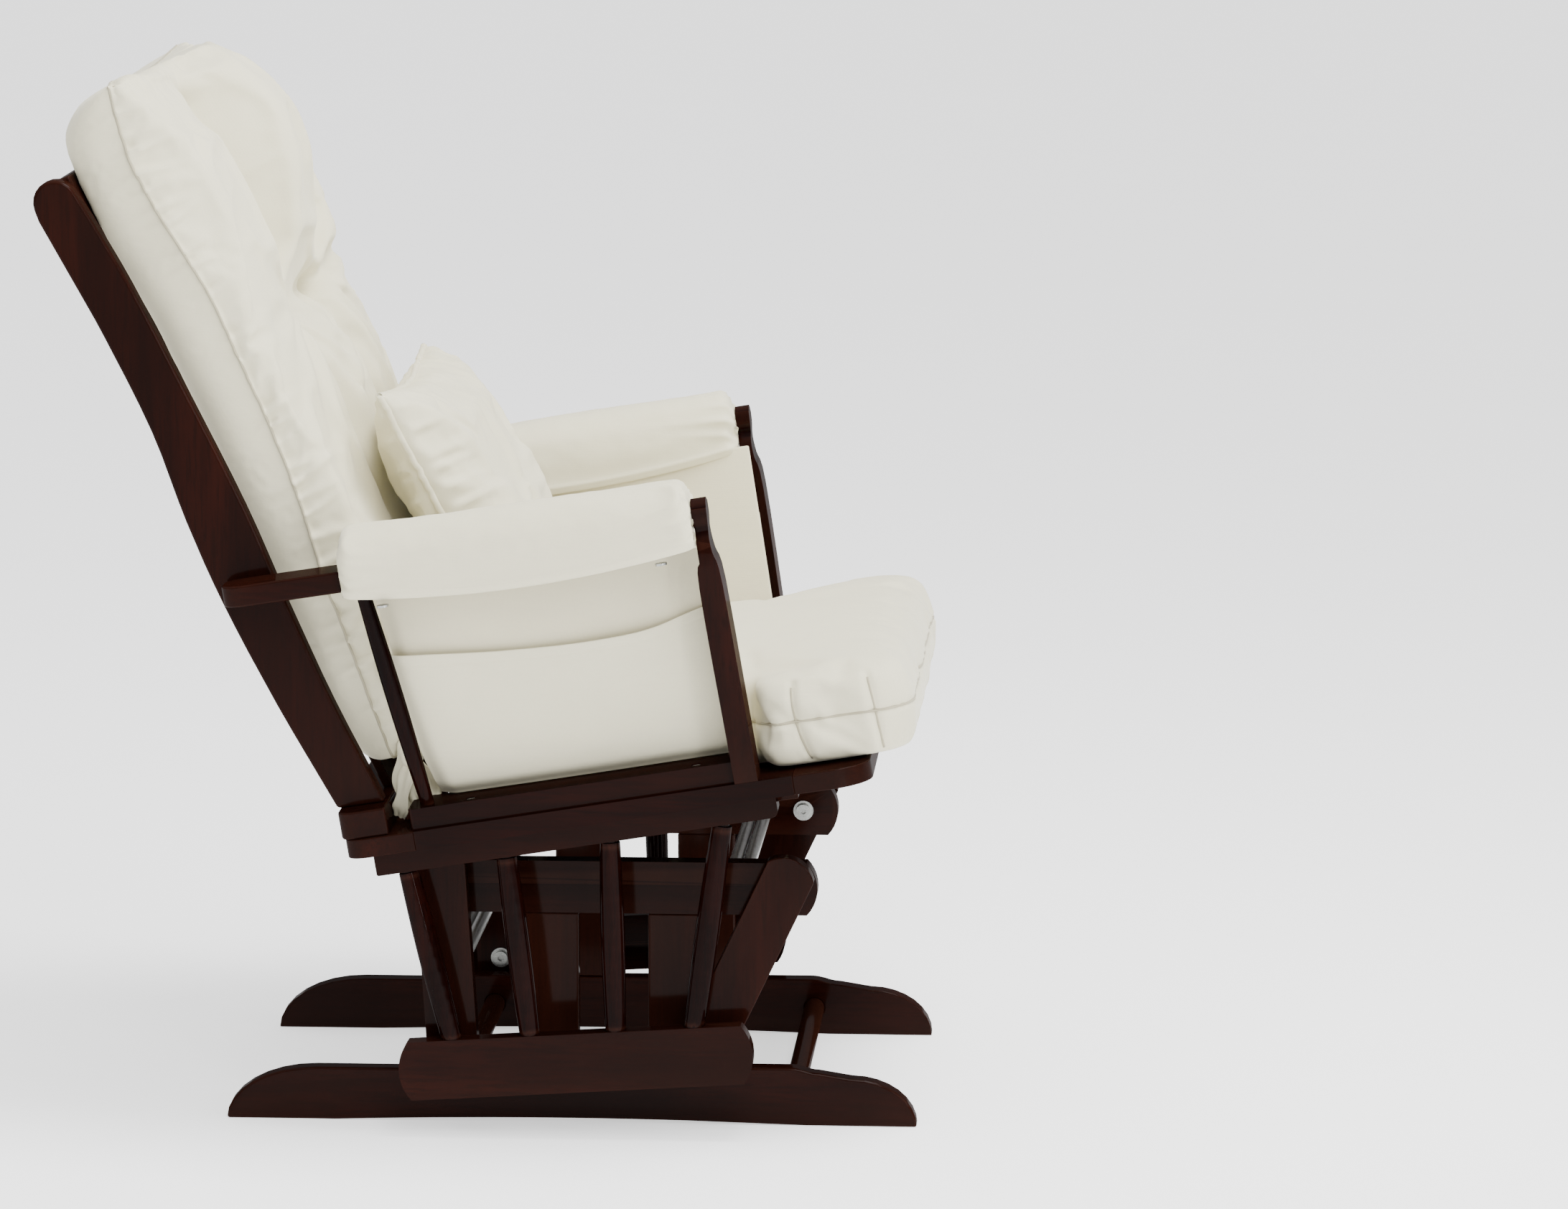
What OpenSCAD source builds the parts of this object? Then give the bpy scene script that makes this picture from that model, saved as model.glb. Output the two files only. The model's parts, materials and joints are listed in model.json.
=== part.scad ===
// Glider nursery chair: a standing base with four swinging links, and a seat that hangs from them.
// Millimetres. +Z is up and -Y is the chair's front. The origin is on the floor, under the middle
// of the whole chair. "Right" is the sitter's right, at -X.

/* [Base] */
// Length of a floor runner
runner_l = 658; // [640:1:670]
// Tallest height of a floor runner
runner_h = 56; // [54:1:60]
// Thickness of the solid boards
board_t = 20; // [18:1:22]
// Half the distance between the middles of the two side frames
side_x = 191.5; // [190:0.5:193]
// Length of an upper rail of the base
rail_l = 387; // [380:1:400]
// Height of an upper rail
rail_h = 50; // [48:1:54]
// Width of an upright
upright_w = 57; // [50:1:60]
// Clear gap between the two uprights of a side
upright_gap = 66; // [60:1:80]
// Diameter of the wooden floor stretchers
stretcher_d = 20; // [18:1:24]
// Diameter of the steel cross tubes
tube_d = 12.4; // [10:0.2:13]

/* [Linkage] */
// Height of the upper pivots
pivot_z = 229; // [228:0.5:230]
// Distance between the upper pivots of a side
pivot_span = 318; // [316:1:320]
// Distance between the lower pivots of a side
seat_span = 239; // [238:1:240]
// Pivot to pivot length of a link
link_l = 162; // [160:1:164]
// Width of a link
link_w = 48; // [44:1:50]
// Slant of the front links from the vertical, at rest
swing = 25.4; // [25:0.1:26]
// Diameter of the pivot bolts
bolt_d = 8; // [8:1:8]

/* [Seat] */
// Half the outer width of the seat frame
seat_half_w = 296; // [292:1:300]
// Length of the seat frame, front to back
seat_l = 496; // [490:1:500]
// Thickness of the seat frame
seat_t = 18; // [16:1:19]
// Slope of the seat frame against the lower boards
seat_pitch = 5.5; // [5:0.1:6]
// Thickness of the seat cushion
cushion_t = 86; // [70:1:90]

/* [Back] */
// Lean of the back from square to the seat
back_lean = 17.4; // [16:0.1:18]
// Middle of the back posts from the middle of the seat frame
back_y = 230; // [229:1:231]
// Half the distance between the middles of the back posts
post_x = 251; // [250:1:252]
// Length of a back post
post_l = 650; // [630:1:660]

/* [Arms] */
// Outward lean of the arms
splay = 8.2; // [7.5:0.1:8.5]
// Height of the arm posts
arm_post_h = 272; // [268:1:276]
// Height of the top of the arm rails above the seat frame
arm_top = 255; // [252:1:258]
// Thickness of an arm rail
arm_t = 20; // [18:1:22]

/* [Hidden] */

WOOD = "#3f1a14";
STEEL = "#9a9a98";
ZINC = "#c9ccc9";
FABRIC = "#ece6d8";

// Places along Y
base_y = -76.5;                 // middle of the runners
rail_y = base_y - 41;           // middle of the upper rails and of the uprights

// Places along X, from the middle outwards
rail_t = board_t + 2;
rail_out = side_x + rail_t / 2;
rail_in = side_x - rail_t / 2;
link_in = 216;
link_out = link_in + board_t;
board_in = 254;
board_mid = board_in + board_t / 2;

// Pivot hardware
bolt_r = bolt_d / 2;
run_gap = 0.05;                 // radial gap of a bolt in its bush
open_gap = 2;                   // radial gap of the rear lower bolts, where the loop is left open
side_gap = 0.3;                 // gap between parts that turn against each other
bush_r = 8;
bush_depth = 15.5;
washer_r = 10;
washer_t = 2;
head_r = 7;
head_t = 4.5;
fine = 48;                      // segments of a round part

// The four pivots of a side as [y, z]. A and D are on the base, B and E on the seat.
pivot_a = [rail_y - pivot_span / 2, pivot_z];
pivot_d = [rail_y + pivot_span / 2, pivot_z];
pivot_b = pivot_a + link_l * [sin(swing), -cos(swing)];
loop_d = pivot_d - pivot_b;
loop_r = norm(loop_d);
loop_a = (seat_span * seat_span - link_l * link_l + loop_r * loop_r) / (2 * loop_r);
loop_h = sqrt(seat_span * seat_span - loop_a * loop_a);
pivot_e = pivot_b + loop_a * loop_d / loop_r + loop_h * [loop_d[1], -loop_d[0]] / loop_r;
seat_mid = (pivot_b + pivot_e) / 2;
basket_tilt = atan2(pivot_b[1] - pivot_e[1], pivot_e[0] - pivot_b[0]);
rear_swing = atan2(pivot_e[0] - pivot_d[0], pivot_d[1] - pivot_e[1]);

// Seat frame in the frame of the lower boards
seat_y = -47;
seat_z = 250.5;
front_rail_w = 72;
rear_rail_w = 66;
side_rail_w = 65;
seat_front = -seat_l / 2;
seat_rear = seat_l / 2;
side_front = seat_front + front_rail_w;
side_rear = seat_rear - rear_rail_w;
spindle_rail_t = 22;
spindle_rail_w = 28;
lower_h = 56;
lower_l = 334;
spindle_r = 9.5;
spindle_belly = 1.8;
tenon_r = 7;
tenon_l = 11;
spindle_foot_y = [-113, -39, 42, 116];
spindle_head_y = [-152, -46, 52, 145];

// Back in the frame of the back posts: u is to the rear, w is up along the post
post_t = 22;
foot_z = 26;                    // top of the bottom back rail above the seat frame
crest_w = 58;
slat_u = -20;
slat_t = 9;

// Arms in the frame of the seat
arm_post_w = 42;
arm_post_y = -133;
arm_rail_rear = 320;
arm_post_t = 22;
arm_neck = 7;                   // rear face of the top of the arm post, from the post's middle
dowel_r = 6.2;
dowel_belly = 2.2;
arm_base_h = 20;

// ---------- helpers ----------

// Smooth curve through points, n steps to a stretch
function spline(p, n) = concat([for (i = [0 : len(p) - 2], k = [0 : n - 1])
    let (t = k / n, a = p[max(i - 1, 0)], b = p[i], c = p[i + 1], d = p[min(i + 2, len(p) - 1)])
    0.5 * (2 * b + (c - a) * t + (2 * a - 5 * b + 4 * c - d) * t * t
        + (3 * b - a - 3 * c + d) * t * t * t)], [p[len(p) - 1]]);

// Part of an ellipse
function arc(c, rx, ry, from, to, n = 8) = [for (i = [0 : n])
    let (t = from + (to - from) * i / n) [c[0] + rx * cos(t), c[1] + ry * sin(t)]];

// A rectangle with a radius for each corner: lower left, lower right, upper right, upper left
function round_box(x0, x1, y0, y1, r) = concat(
    arc([x0 + r[0], y0 + r[0]], r[0], r[0], 180, 270),
    arc([x1 - r[1], y0 + r[1]], r[1], r[1], 270, 360),
    arc([x1 - r[2], y1 - r[2]], r[2], r[2], 0, 90),
    arc([x0 + r[3], y1 - r[3]], r[3], r[3], 90, 180));

// A board end that bows out by b over the height h
function bow(x, h, b, side) = let (r = (h * h / 4 + b * b) / (2 * b), t = asin(h / 2 / r))
    arc([x + side * (b - r), 0], r, r, side > 0 ? -t : 180 - t, side > 0 ? t : 180 + t, 10);

// An outline in Y and Z, extruded along X with its middle at x
module side_board(x, t) {
    translate([x - t / 2, 0, 0]) rotate([90, 0, 90]) linear_extrude(t) children();
}

// A board along Y with both ends bowed
module bowed_board(x, t, l, h, b) {
    side_board(x, t) polygon(concat(bow(l / 2 - b, h, b, 1), bow(b - l / 2, h, b, -1)));
}

// Parts are drawn at +X, the sitter's left, and mirrored for the right
module on_side(side) {
    if (side < 0) mirror([1, 0, 0]) children();
    else children();
}

module both_sides() {
    children();
    mirror([1, 0, 0]) children();
}

module in_basket() {
    translate([0, seat_mid[0], seat_mid[1]]) rotate([-basket_tilt, 0, 0]) children();
}

module in_seat() {
    in_basket() translate([0, seat_y, seat_z]) rotate([-seat_pitch, 0, 0]) children();
}

module in_back() {
    in_seat() translate([0, back_y, foot_z]) rotate([-back_lean, 0, 0]) children();
}

// The arm's own frame leans outwards from the edge of the seat frame
module in_arm() {
    in_seat() translate([seat_half_w, 0, 0]) rotate([0, splay, 0]) children();
}

module rod_x(x0, x1, r) {
    translate([x0, 0, 0]) rotate([0, 90, 0]) cylinder(h = x1 - x0, r = r, $fn = fine);
}

module ring_x(x0, x1, r_out, r_in) {
    difference() {
        rod_x(x0, x1, r_out);
        rod_x(x0 - 1, x1 + 1, r_in);
    }
}

module at_pivot(p) {
    translate([0, p[0], p[1]]) children();
}

// A turned stick along Z that is a little fatter in the middle
module turned_stick(l, r, belly) {
    steps = 12;
    rotate_extrude($fn = fine) polygon(concat([[0, 0]],
        [for (i = [0 : steps]) [r + belly * sin(180 * i / steps), l * i / steps]], [[0, l]]));
}

// ---------- base ----------

runner_step = 5;                // the middle of a runner stands this much above its ends
runner_relief = 4;              // hollow under the middle of a runner
plateau = 168;                  // half length of the tall middle
step_l = 27;
nose_l = 62;
heel_l = 86;
foot_l = 225;                   // the hollow underneath reaches this far each way
rail_off = rail_y - base_y;

function ramp(x0, z0, x1, z1, n = 6) = [for (i = [0 : n])
    let (s = i / n) [x0 + (x1 - x0) * s, z0 + (z1 - z0) * (1 - cos(180 * s)) / 2]];

runner_low = runner_h - runner_step;
runner_outline = concat(
    [for (i = [12 : -1 : -12]) let (q = i / 12) [foot_l * q, runner_relief * (1 - q * q)]],
    arc([nose_l - runner_l / 2, 0], nose_l, runner_low - 5, 180, 90),
    ramp(rail_off - plateau - step_l, runner_low, rail_off - plateau, runner_h),
    ramp(rail_off + plateau, runner_h, rail_off + plateau + step_l, runner_low),
    arc([runner_l / 2 - heel_l, 0], heel_l, runner_low, 90, 0));

stretcher_z = 27;
stretcher_y = [base_y - 211, base_y + 111];
stretcher_in = 12;              // how far a stretcher enters a runner

module stretcher(y) {
    translate([0, y, stretcher_z])
        rod_x(-side_x + board_t / 2 - stretcher_in, side_x - board_t / 2 + stretcher_in,
            stretcher_d / 2);
}

module runner(side) on_side(side) color(WOOD) difference() {
    translate([0, base_y, 0]) side_board(side_x, board_t) polygon(runner_outline);
    for (y = stretcher_y) stretcher(y);
}

module floor_stretcher(i) color(WOOD) stretcher(stretcher_y[i]);

module upright(side, row) on_side(side) color(WOOD)
    translate([side_x - board_t / 2 + 1,
        rail_y + row * (upright_gap + upright_w) / 2 - upright_w / 2, runner_h])
        cube([board_t - 2, upright_w, pivot_z - rail_h / 2 - runner_h]);

tube_pitch = 13.6;
tube_in = 10;
tube_row_y = 115;               // middle of a pair of tubes from the middle of the rail

module tube_pair(y, z, x) {
    for (s = [-1, 1]) translate([0, y + s * tube_pitch / 2, z]) rod_x(-x, x, tube_d / 2);
}

module base_tubes(row) color(STEEL) difference() {
    tube_pair(rail_y + row * tube_row_y, pivot_z, rail_in + tube_in);
    for (s = [-1, 1]) translate([0, rail_y + row * tube_row_y + s * tube_pitch / 2, pivot_z])
        rod_x(-rail_out, rail_out, tube_d / 2 - 1.2);
}

module base_rail(side) on_side(side) color(WOOD) difference() {
    translate([0, rail_y, pivot_z]) bowed_board(side_x, rail_t, rail_l, rail_h, 10);
    for (p = [pivot_a, pivot_d]) at_pivot(p) rod_x(rail_in - 1, rail_out + 1, bolt_r);
    for (row = [-1, 1])
        tube_pair(rail_y + row * tube_row_y, pivot_z, rail_in + tube_in);
}

// A bolt along X with its head at x0 and its tip at x1, head towards the middle of the chair
module pivot_bolt(x0, x1) {
    difference() {
        union() {
            rod_x(x0, x1, bolt_r);
            rod_x(x0 - head_t, x0, head_r);
        }
        translate([x0 - head_t - 1, 0, 0]) rotate([0, 90, 0]) cylinder(h = 4, r = 3, $fn = 6);
    }
}

module upper_pivot_bolts() color(ZINC) both_sides() for (p = [pivot_a, pivot_d]) at_pivot(p) {
    pivot_bolt(rail_in - washer_t, link_in + bush_depth - 1);
    ring_x(rail_in - washer_t, rail_in, washer_r, bolt_r);
}

module upper_pivot_spacers() color(STEEL) both_sides() for (p = [pivot_a, pivot_d]) at_pivot(p)
    ring_x(rail_out, link_in - side_gap, bush_r, bolt_r);

// ---------- links ----------

link_over = 38;                 // wood beyond each pivot
link_bow = 12;

// A link hangs from its upper pivot; the upper hole is blind and the lower one goes through
module link_board() {
    half = link_l / 2 + link_over;
    difference() {
        translate([0, 0, -link_l / 2]) side_board((link_in + link_out) / 2, board_t)
            rotate(90) polygon(concat(bow(half - link_bow, link_w, link_bow, 1),
                bow(link_bow - half, link_w, link_bow, -1)));
        rod_x(link_in - 1, link_in + bush_depth + 0.5, bush_r);
        translate([0, 0, -link_l]) rod_x(link_in - 1, link_out + 1, bush_r);
    }
}

module link_front(side) on_side(side) color(WOOD)
    at_pivot(pivot_a) rotate([swing, 0, 0]) link_board();

module link_bushes(lower_gap) {
    ring_x(link_in, link_in + bush_depth, bush_r, bolt_r + run_gap);
    translate([0, 0, -link_l]) ring_x(link_in, link_out, bush_r, bolt_r + lower_gap);
}

module front_link_bushes() color(STEEL) both_sides()
    at_pivot(pivot_a) rotate([swing, 0, 0]) link_bushes(run_gap);

link_tube_z = link_l / 2;       // the tubes join the rear links half way down

module link_rear(side) on_side(side) color(WOOD)
    at_pivot(pivot_d) rotate([rear_swing, 0, 0]) difference() {
        link_board();
        tube_pair(0, -link_tube_z, link_in + tube_in);
    }

module rear_link_bushes() color(STEEL) both_sides()
    at_pivot(pivot_d) rotate([rear_swing, 0, 0]) link_bushes(open_gap);

module rear_link_tubes() color(STEEL) at_pivot(pivot_d) rotate([rear_swing, 0, 0]) difference() {
    tube_pair(0, -link_tube_z, link_in + tube_in);
    for (s = [-1, 1]) translate([0, s * tube_pitch / 2, -link_tube_z])
        rod_x(-link_out, link_out, tube_d / 2 - 1.2);
}

// ---------- swinging lower boards and spindles ----------

lower_bolt_depth = 16;

// Height of the underside of the spindle rail at a place y, in the frame of the lower boards
function rail_under(y) = seat_z - tan(seat_pitch) * (y - seat_y)
    - (seat_t + spindle_rail_t) / cos(seat_pitch);

module spindle_place(i) {
    foot = [spindle_foot_y[i], lower_h / 2];
    head = [spindle_head_y[i], rail_under(spindle_head_y[i])];
    translate([board_mid, foot[0], foot[1]])
        rotate([-atan2(head[0] - foot[0], head[1] - foot[1]), 0, 0]) children();
}

function spindle_len(i) = norm([spindle_head_y[i] - spindle_foot_y[i],
    rail_under(spindle_head_y[i]) - lower_h / 2]);

module spindle_tenons(i) {
    spindle_place(i) translate([0, 0, -tenon_l])
        cylinder(h = spindle_len(i) + 2 * tenon_l, r = tenon_r, $fn = fine);
}

module basket_spindles(side) on_side(side) color(WOOD) in_basket() for (i = [0 : 3]) {
    difference() {
        spindle_place(i) translate([0, 0, -4])
            turned_stick(spindle_len(i) + 4 - 2.4, spindle_r, spindle_belly);
        translate([board_in - 5, -lower_l, lower_h / 2 - 30]) cube([board_t + 10, 2 * lower_l, 30]);
    }
    spindle_tenons(i);
}

module lower_board(side) on_side(side) color(WOOD) in_basket() difference() {
    bowed_board(board_mid, board_t, lower_l, lower_h, 10);
    for (i = [0 : 3]) spindle_tenons(i);
    for (s = [-1, 1]) translate([0, s * seat_span / 2, 0])
        rod_x(board_in - 1, board_in + lower_bolt_depth, bolt_r);
}

module lower_pivot_bolts() color(ZINC) both_sides() in_basket() for (s = [-1, 1])
    translate([0, s * seat_span / 2, 0]) {
        pivot_bolt(link_in - side_gap - washer_t, board_in + lower_bolt_depth);
        ring_x(link_in - side_gap - washer_t, link_in - side_gap, washer_r, bolt_r);
    }

module lower_pivot_spacers() color(STEEL) both_sides() in_basket() for (s = [-1, 1])
    translate([0, s * seat_span / 2, 0]) ring_x(link_out + side_gap, board_in, bush_r, bolt_r);

spindle_rail_front = -156;
spindle_rail_rear = 225;

module spindle_rail(side) on_side(side) color(WOOD) difference() {
    in_seat() translate([board_mid - spindle_rail_w / 2, 0, -seat_t - spindle_rail_t])
        rotate([90, 0, 90]) linear_extrude(spindle_rail_w)
            polygon(round_box(spindle_rail_front, spindle_rail_rear, 0, spindle_rail_t,
                [7, 2, 2, 2]));
    in_basket() for (i = [0 : 3]) spindle_tenons(i);
}

// ---------- seat frame ----------

module seat_board(x0, x1, y0, y1, r) {
    in_seat() translate([0, 0, -seat_t]) linear_extrude(seat_t)
        polygon(round_box(x0, x1, y0, y1, r));
}

module seat_rail_front() color(WOOD)
    seat_board(-seat_half_w, seat_half_w, seat_front, side_front, [34, 34, 1, 1]);

module seat_rail_rear() color(WOOD)
    seat_board(-seat_half_w, seat_half_w, side_rear, seat_rear, [1, 1, 20, 20]);

module seat_rail_side(side) on_side(side) color(WOOD) difference() {
    seat_board(seat_half_w - side_rail_w, seat_half_w, side_front, side_rear, [1, 1, 1, 1]);
    arm_screw_places() cylinder(h = 60, r = screw_r, center = true, $fn = fine);
}

cleat_w = 20;
cleat_t = 20;
slat_depth = 14;                // underside of the seat slats below the top of the frame
seat_slat_t = 12;
seat_slat_w = 50;
seat_slat_pitch = 66;

module seat_cleats() color(WOOD) both_sides() in_seat()
    translate([seat_half_w - side_rail_w - cleat_w, side_front + 3, -slat_depth - cleat_t])
        cube([cleat_w, side_rear - side_front - 6, cleat_t]);

module seat_slats() color(WOOD) in_seat() for (i = [-2 : 2])
    translate([0, i * seat_slat_pitch, -slat_depth + seat_slat_t / 2])
        cube([2 * (seat_half_w - side_rail_w) - 1, seat_slat_w, seat_slat_t], center = true);

// ---------- back ----------

post_front = [[-21, -7], [-20, 100], [-24, 200], [-30, 300], [-30.5, 420], [-30, 530], [-26, 600]];
post_rear = [[19.5, 620], [17, 560], [14.5, 500], [15.5, 400], [25.5, 310], [30, 225], [28.5, 120],
    [22, 7]];
post_nose_r = 22;

// The post's foot is cut on the flat top of the bottom rail
module back_post(side) on_side(side) color(WOOD) difference() {
    in_back() side_board(post_x, post_t) polygon(concat(spline(post_front, 4),
        arc([-2.5, post_l - post_nose_r], 21, post_nose_r, 170, 8, 10), spline(post_rear, 4)));
    in_seat() translate([0, back_y - 60, foot_z - 40]) cube([2 * post_x, 120, 40]);
}

module back_rail_bottom() color(WOOD) in_seat() linear_extrude(foot_z)
    polygon(round_box(4 - seat_half_w, seat_half_w - 4, back_y - 25, seat_rear + 3,
        [2, 2, 16, 16]));

module back_rail_top() color(WOOD) in_back()
    translate([post_t / 2 - post_x, slat_u - 2, post_l - 4 - crest_w])
        cube([2 * post_x - post_t, 20, crest_w]);

back_slat_w = 46;
back_slat_pitch = 80;

module back_slats() color(WOOD) difference() {
    in_back() for (i = [-2 : 2])
        translate([i * back_slat_pitch - back_slat_w / 2, slat_u, -20])
            cube([back_slat_w, slat_t, post_l - 4 - crest_w + 20]);
    in_seat() translate([-post_x, back_y - 60, foot_z - 60]) cube([2 * post_x, 120, 60]);
}

// ---------- arms ----------

screw_r = 2.5;
screw_head_r = 5;
screw_inset = 22;
screw_y = [-88, 126];

module arm_screw_places() {
    in_seat() for (y = screw_y) translate([seat_half_w - screw_inset, y, 0]) children();
}

module arm_base_rail(side) on_side(side) color(WOOD) difference() {
    in_seat() linear_extrude(arm_base_h) polygon(round_box(seat_half_w - 68, seat_half_w - 7,
        arm_post_y + arm_post_t / 2, side_rear + 2, [1, 1, 3, 3]));
    arm_screw_places() {
        cylinder(h = 60, r = screw_r, center = true, $fn = fine);
        translate([0, 0, arm_base_h - 4]) cylinder(h = 5, r = screw_head_r, $fn = fine);
    }
}

module arm_screws() color(ZINC) both_sides() arm_screw_places() {
    translate([0, 0, 4 - seat_t]) cylinder(h = arm_base_h + seat_t - 8, r = screw_r, $fn = fine);
    translate([0, 0, arm_base_h - 4]) cylinder(h = 3, r = screw_head_r, $fn = fine);
}

// The post seen from the front: its outer edge is at x = 0
arm_post_face = concat([[-arm_post_w, -6], [0, -6]],
    spline([[0, 40], [2, 120], [1, 200], [-4, 232], [-9, 244], [-6, 254], [-7, 266]], 4),
    arc([-21, arm_post_h - 12], 13, 12, 30, 150),
    spline([[-35, 266], [-36, 254], [-33, 244], [-39, 232], [-41, 200], [-40, 120],
        [-arm_post_w, 40]], 4));

// The post seen from the side: it thins towards the top, where the rail meets its rear face
arm_post_side = concat([[-arm_post_t / 2, -6]],
    spline([[-11, 40], [-11, 190], [-6.5, 222], [-5.5, 238], [-7, 256], [-7.5, arm_post_h + 4]], 4),
    [[arm_neck, arm_post_h + 4]], spline([[arm_neck, 213], [11, 190], [11, 40]], 4),
    [[arm_post_t / 2, -6]]);

module arm_post(side) on_side(side) color(WOOD) difference() {
    intersection() {
        in_arm() translate([0, arm_post_y + 30, 0]) rotate([90, 0, 0]) linear_extrude(60)
            polygon(arm_post_face);
        in_seat() translate([seat_half_w - 20, arm_post_y, 0]) side_board(0, 180)
            polygon(arm_post_side);
    }
    in_seat() translate([seat_half_w - 80, arm_post_y - 40, -30]) cube([120, 80, 30]);
}

dowel_foot = [seat_half_w - 24, 167, arm_base_h];
dowel_head = [seat_half_w + 2, 190, arm_top - arm_t];
dowel_d = dowel_head - dowel_foot;

module arm_dowel(side) on_side(side) color(WOOD) difference() {
    in_seat() translate(dowel_foot)
        rotate([0, atan2(dowel_d[0], norm([dowel_d[1], dowel_d[2]])), 0])
        rotate([-atan2(dowel_d[1], dowel_d[2]), 0, 0])
        translate([0, 0, -8]) turned_stick(norm(dowel_d) + 16, dowel_r, dowel_belly);
    in_seat() translate([seat_half_w - 60, 100, arm_base_h - 30]) cube([100, 130, 30]);
    in_seat() translate([seat_half_w - 60, 100, arm_top - arm_t]) cube([100, 130, 30]);
}

// The arm rail in plan: it runs past the outside of the back post and flares to the front
arm_rail_front = arm_post_y + arm_neck;
arm_rail_plan = concat(
    [[post_x + post_t / 2, 262], [286, arm_rail_front], [331, arm_rail_front],
        [312, arm_rail_rear - 34]],
    arc([290, arm_rail_rear - 26], 22, 26, 8, 90, 6),
    [[270, arm_rail_rear], [post_x + post_t / 2, arm_rail_rear - 8]]);

module arm_rail(side) on_side(side) color(WOOD)
    in_seat() translate([0, 0, arm_top - arm_t]) linear_extrude(arm_t) polygon(arm_rail_plan);

// ---------- soft parts ----------

cushion_front = -298;
cushion_rear = 150;
cushion_half = 226;
ear_half = 268;
ear_rear = arm_post_y - arm_post_t / 2 - 5;

module seat_cushion() color(FABRIC) in_seat() translate([0, 0, 1]) linear_extrude(cushion_t)
    polygon(concat(
        arc([-ear_half + 40, cushion_front + 40], 40, 40, 180, 270),
        arc([ear_half - 40, cushion_front + 40], 40, 40, 270, 360),
        arc([ear_half - 20, ear_rear - 20], 20, 20, 0, 90),
        [[cushion_half, ear_rear]],
        arc([cushion_half - 24, cushion_rear - 24], 24, 24, 0, 90),
        arc([24 - cushion_half, cushion_rear - 24], 24, 24, 90, 180),
        [[-cushion_half, ear_rear]],
        arc([20 - ear_half, ear_rear - 20], 20, 20, 90, 180)));

back_half = 237;
cushion_u = -34;                // rear face of the back cushion
back_profile = concat([[cushion_u, 62]], [[cushion_u, 660]],
    spline([[-46, 684], [-68, 698], [-96, 703], [-126, 699], [-157, 684], [-185, 654], [-199, 612],
        [-198, 574], [-178, 520], [-160, 474], [-151, 430], [-154, 370], [-149, 318], [-137, 265],
        [-128, 215], [-126, 120], [-128, 32]], 3));

module back_cushion() color(FABRIC) in_back() side_board(0, 2 * back_half)
    polygon(back_profile);

pillow_half = 165;
pillow_outline = spline([[-176, 13], [-208, 44], [-232, 112], [-236, 170], [-226, 230], [-206, 288],
    [-182, 329], [-168, 308], [-149, 268], [-135, 220], [-133, 160], [-140, 80], [-158, 30], [-176, 13]], 3);

module lumbar_pillow() color(FABRIC) in_back() side_board(0, 2 * pillow_half)
    polygon(pillow_outline);

pad_top = 291;
pad_under = 221;
pad_rear = 206;
pad_front = arm_rail_front + 1;

// The pad is a sleeve around the arm rail, open underneath for the dowel
module arm_pad(side) on_side(side) color(FABRIC) in_seat() difference() {
    translate([0, pad_rear, 0]) rotate([90, 0, 0]) linear_extrude(pad_rear - pad_front)
        polygon(round_box(268, 344, pad_under, pad_top, [16, 16, 30, 30]));
    translate([0, 0, arm_top - arm_t - 0.5]) linear_extrude(arm_t + 1) offset(delta = 0.5)
        polygon(arm_rail_plan);
    translate([dowel_head[0], dowel_head[1] - 1, pad_under - 5])
        cylinder(h = arm_top - pad_under, r = 11, $fn = fine);
}

panel_t = 4;
panel_outline = [[arm_post_y - 4, 13], [150, 13], [163, 22], [186, 217], [arm_post_y, 217]];

module side_panel(side) on_side(side) color(FABRIC) in_arm()
    side_board(-54, panel_t) polygon(panel_outline);

tie_r = 7;
tie_h = 60;

module cushion_ties() color(FABRIC) both_sides() in_seat() translate([240, 194, 4]) {
    cylinder(h = tie_h, r = tie_r, $fn = fine);
    translate([0, 0, tie_h]) sphere(r = tie_r, $fn = fine);
}

snap_r = 5.5;
snap_y = [-92, 168];

module pad_snaps() color(ZINC) both_sides() in_seat() for (y = snap_y)
    translate([334, y, pad_under - 2]) cylinder(h = 2, r = snap_r, $fn = fine);

// ---------- nodes ----------

for (s = [["_right", -1], ["_left", 1]]) {
    runner(s[1]);
    upright(s[1], -1);
    upright(s[1], 1);
    base_rail(s[1]);
    link_front(s[1]);
    link_rear(s[1]);
    lower_board(s[1]);
    basket_spindles(s[1]);
    spindle_rail(s[1]);
    seat_rail_side(s[1]);
    back_post(s[1]);
    arm_base_rail(s[1]);
    arm_post(s[1]);
    arm_dowel(s[1]);
    arm_rail(s[1]);
    arm_pad(s[1]);
    side_panel(s[1]);
}
floor_stretcher(0);  // floor_stretcher_front
floor_stretcher(1);  // floor_stretcher_rear
base_tubes(-1);  // base_tubes_front
base_tubes(1);  // base_tubes_rear
upper_pivot_bolts();
upper_pivot_spacers();
front_link_bushes();
rear_link_bushes();
rear_link_tubes();
lower_pivot_bolts();
lower_pivot_spacers();
seat_rail_front();
seat_rail_rear();
seat_cleats();
seat_slats();
back_rail_bottom();
back_rail_top();
back_slats();
arm_screws();
seat_cushion();
back_cushion();
lumbar_pillow();
cushion_ties();
pad_snaps();
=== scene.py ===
"""The looks of a glider nursery chair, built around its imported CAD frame.

Lengths are in metres in the row frame. Soft pieces are shaped in millimetres in the chair's own tilted
frames (SEAT, BACK, ARM), which are measured on the CAD parts.
"""
import json
import math

import bmesh
import bpy
import numpy as np
from mathutils import Matrix, Vector, noise
from mathutils.bvhtree import BVHTree

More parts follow.
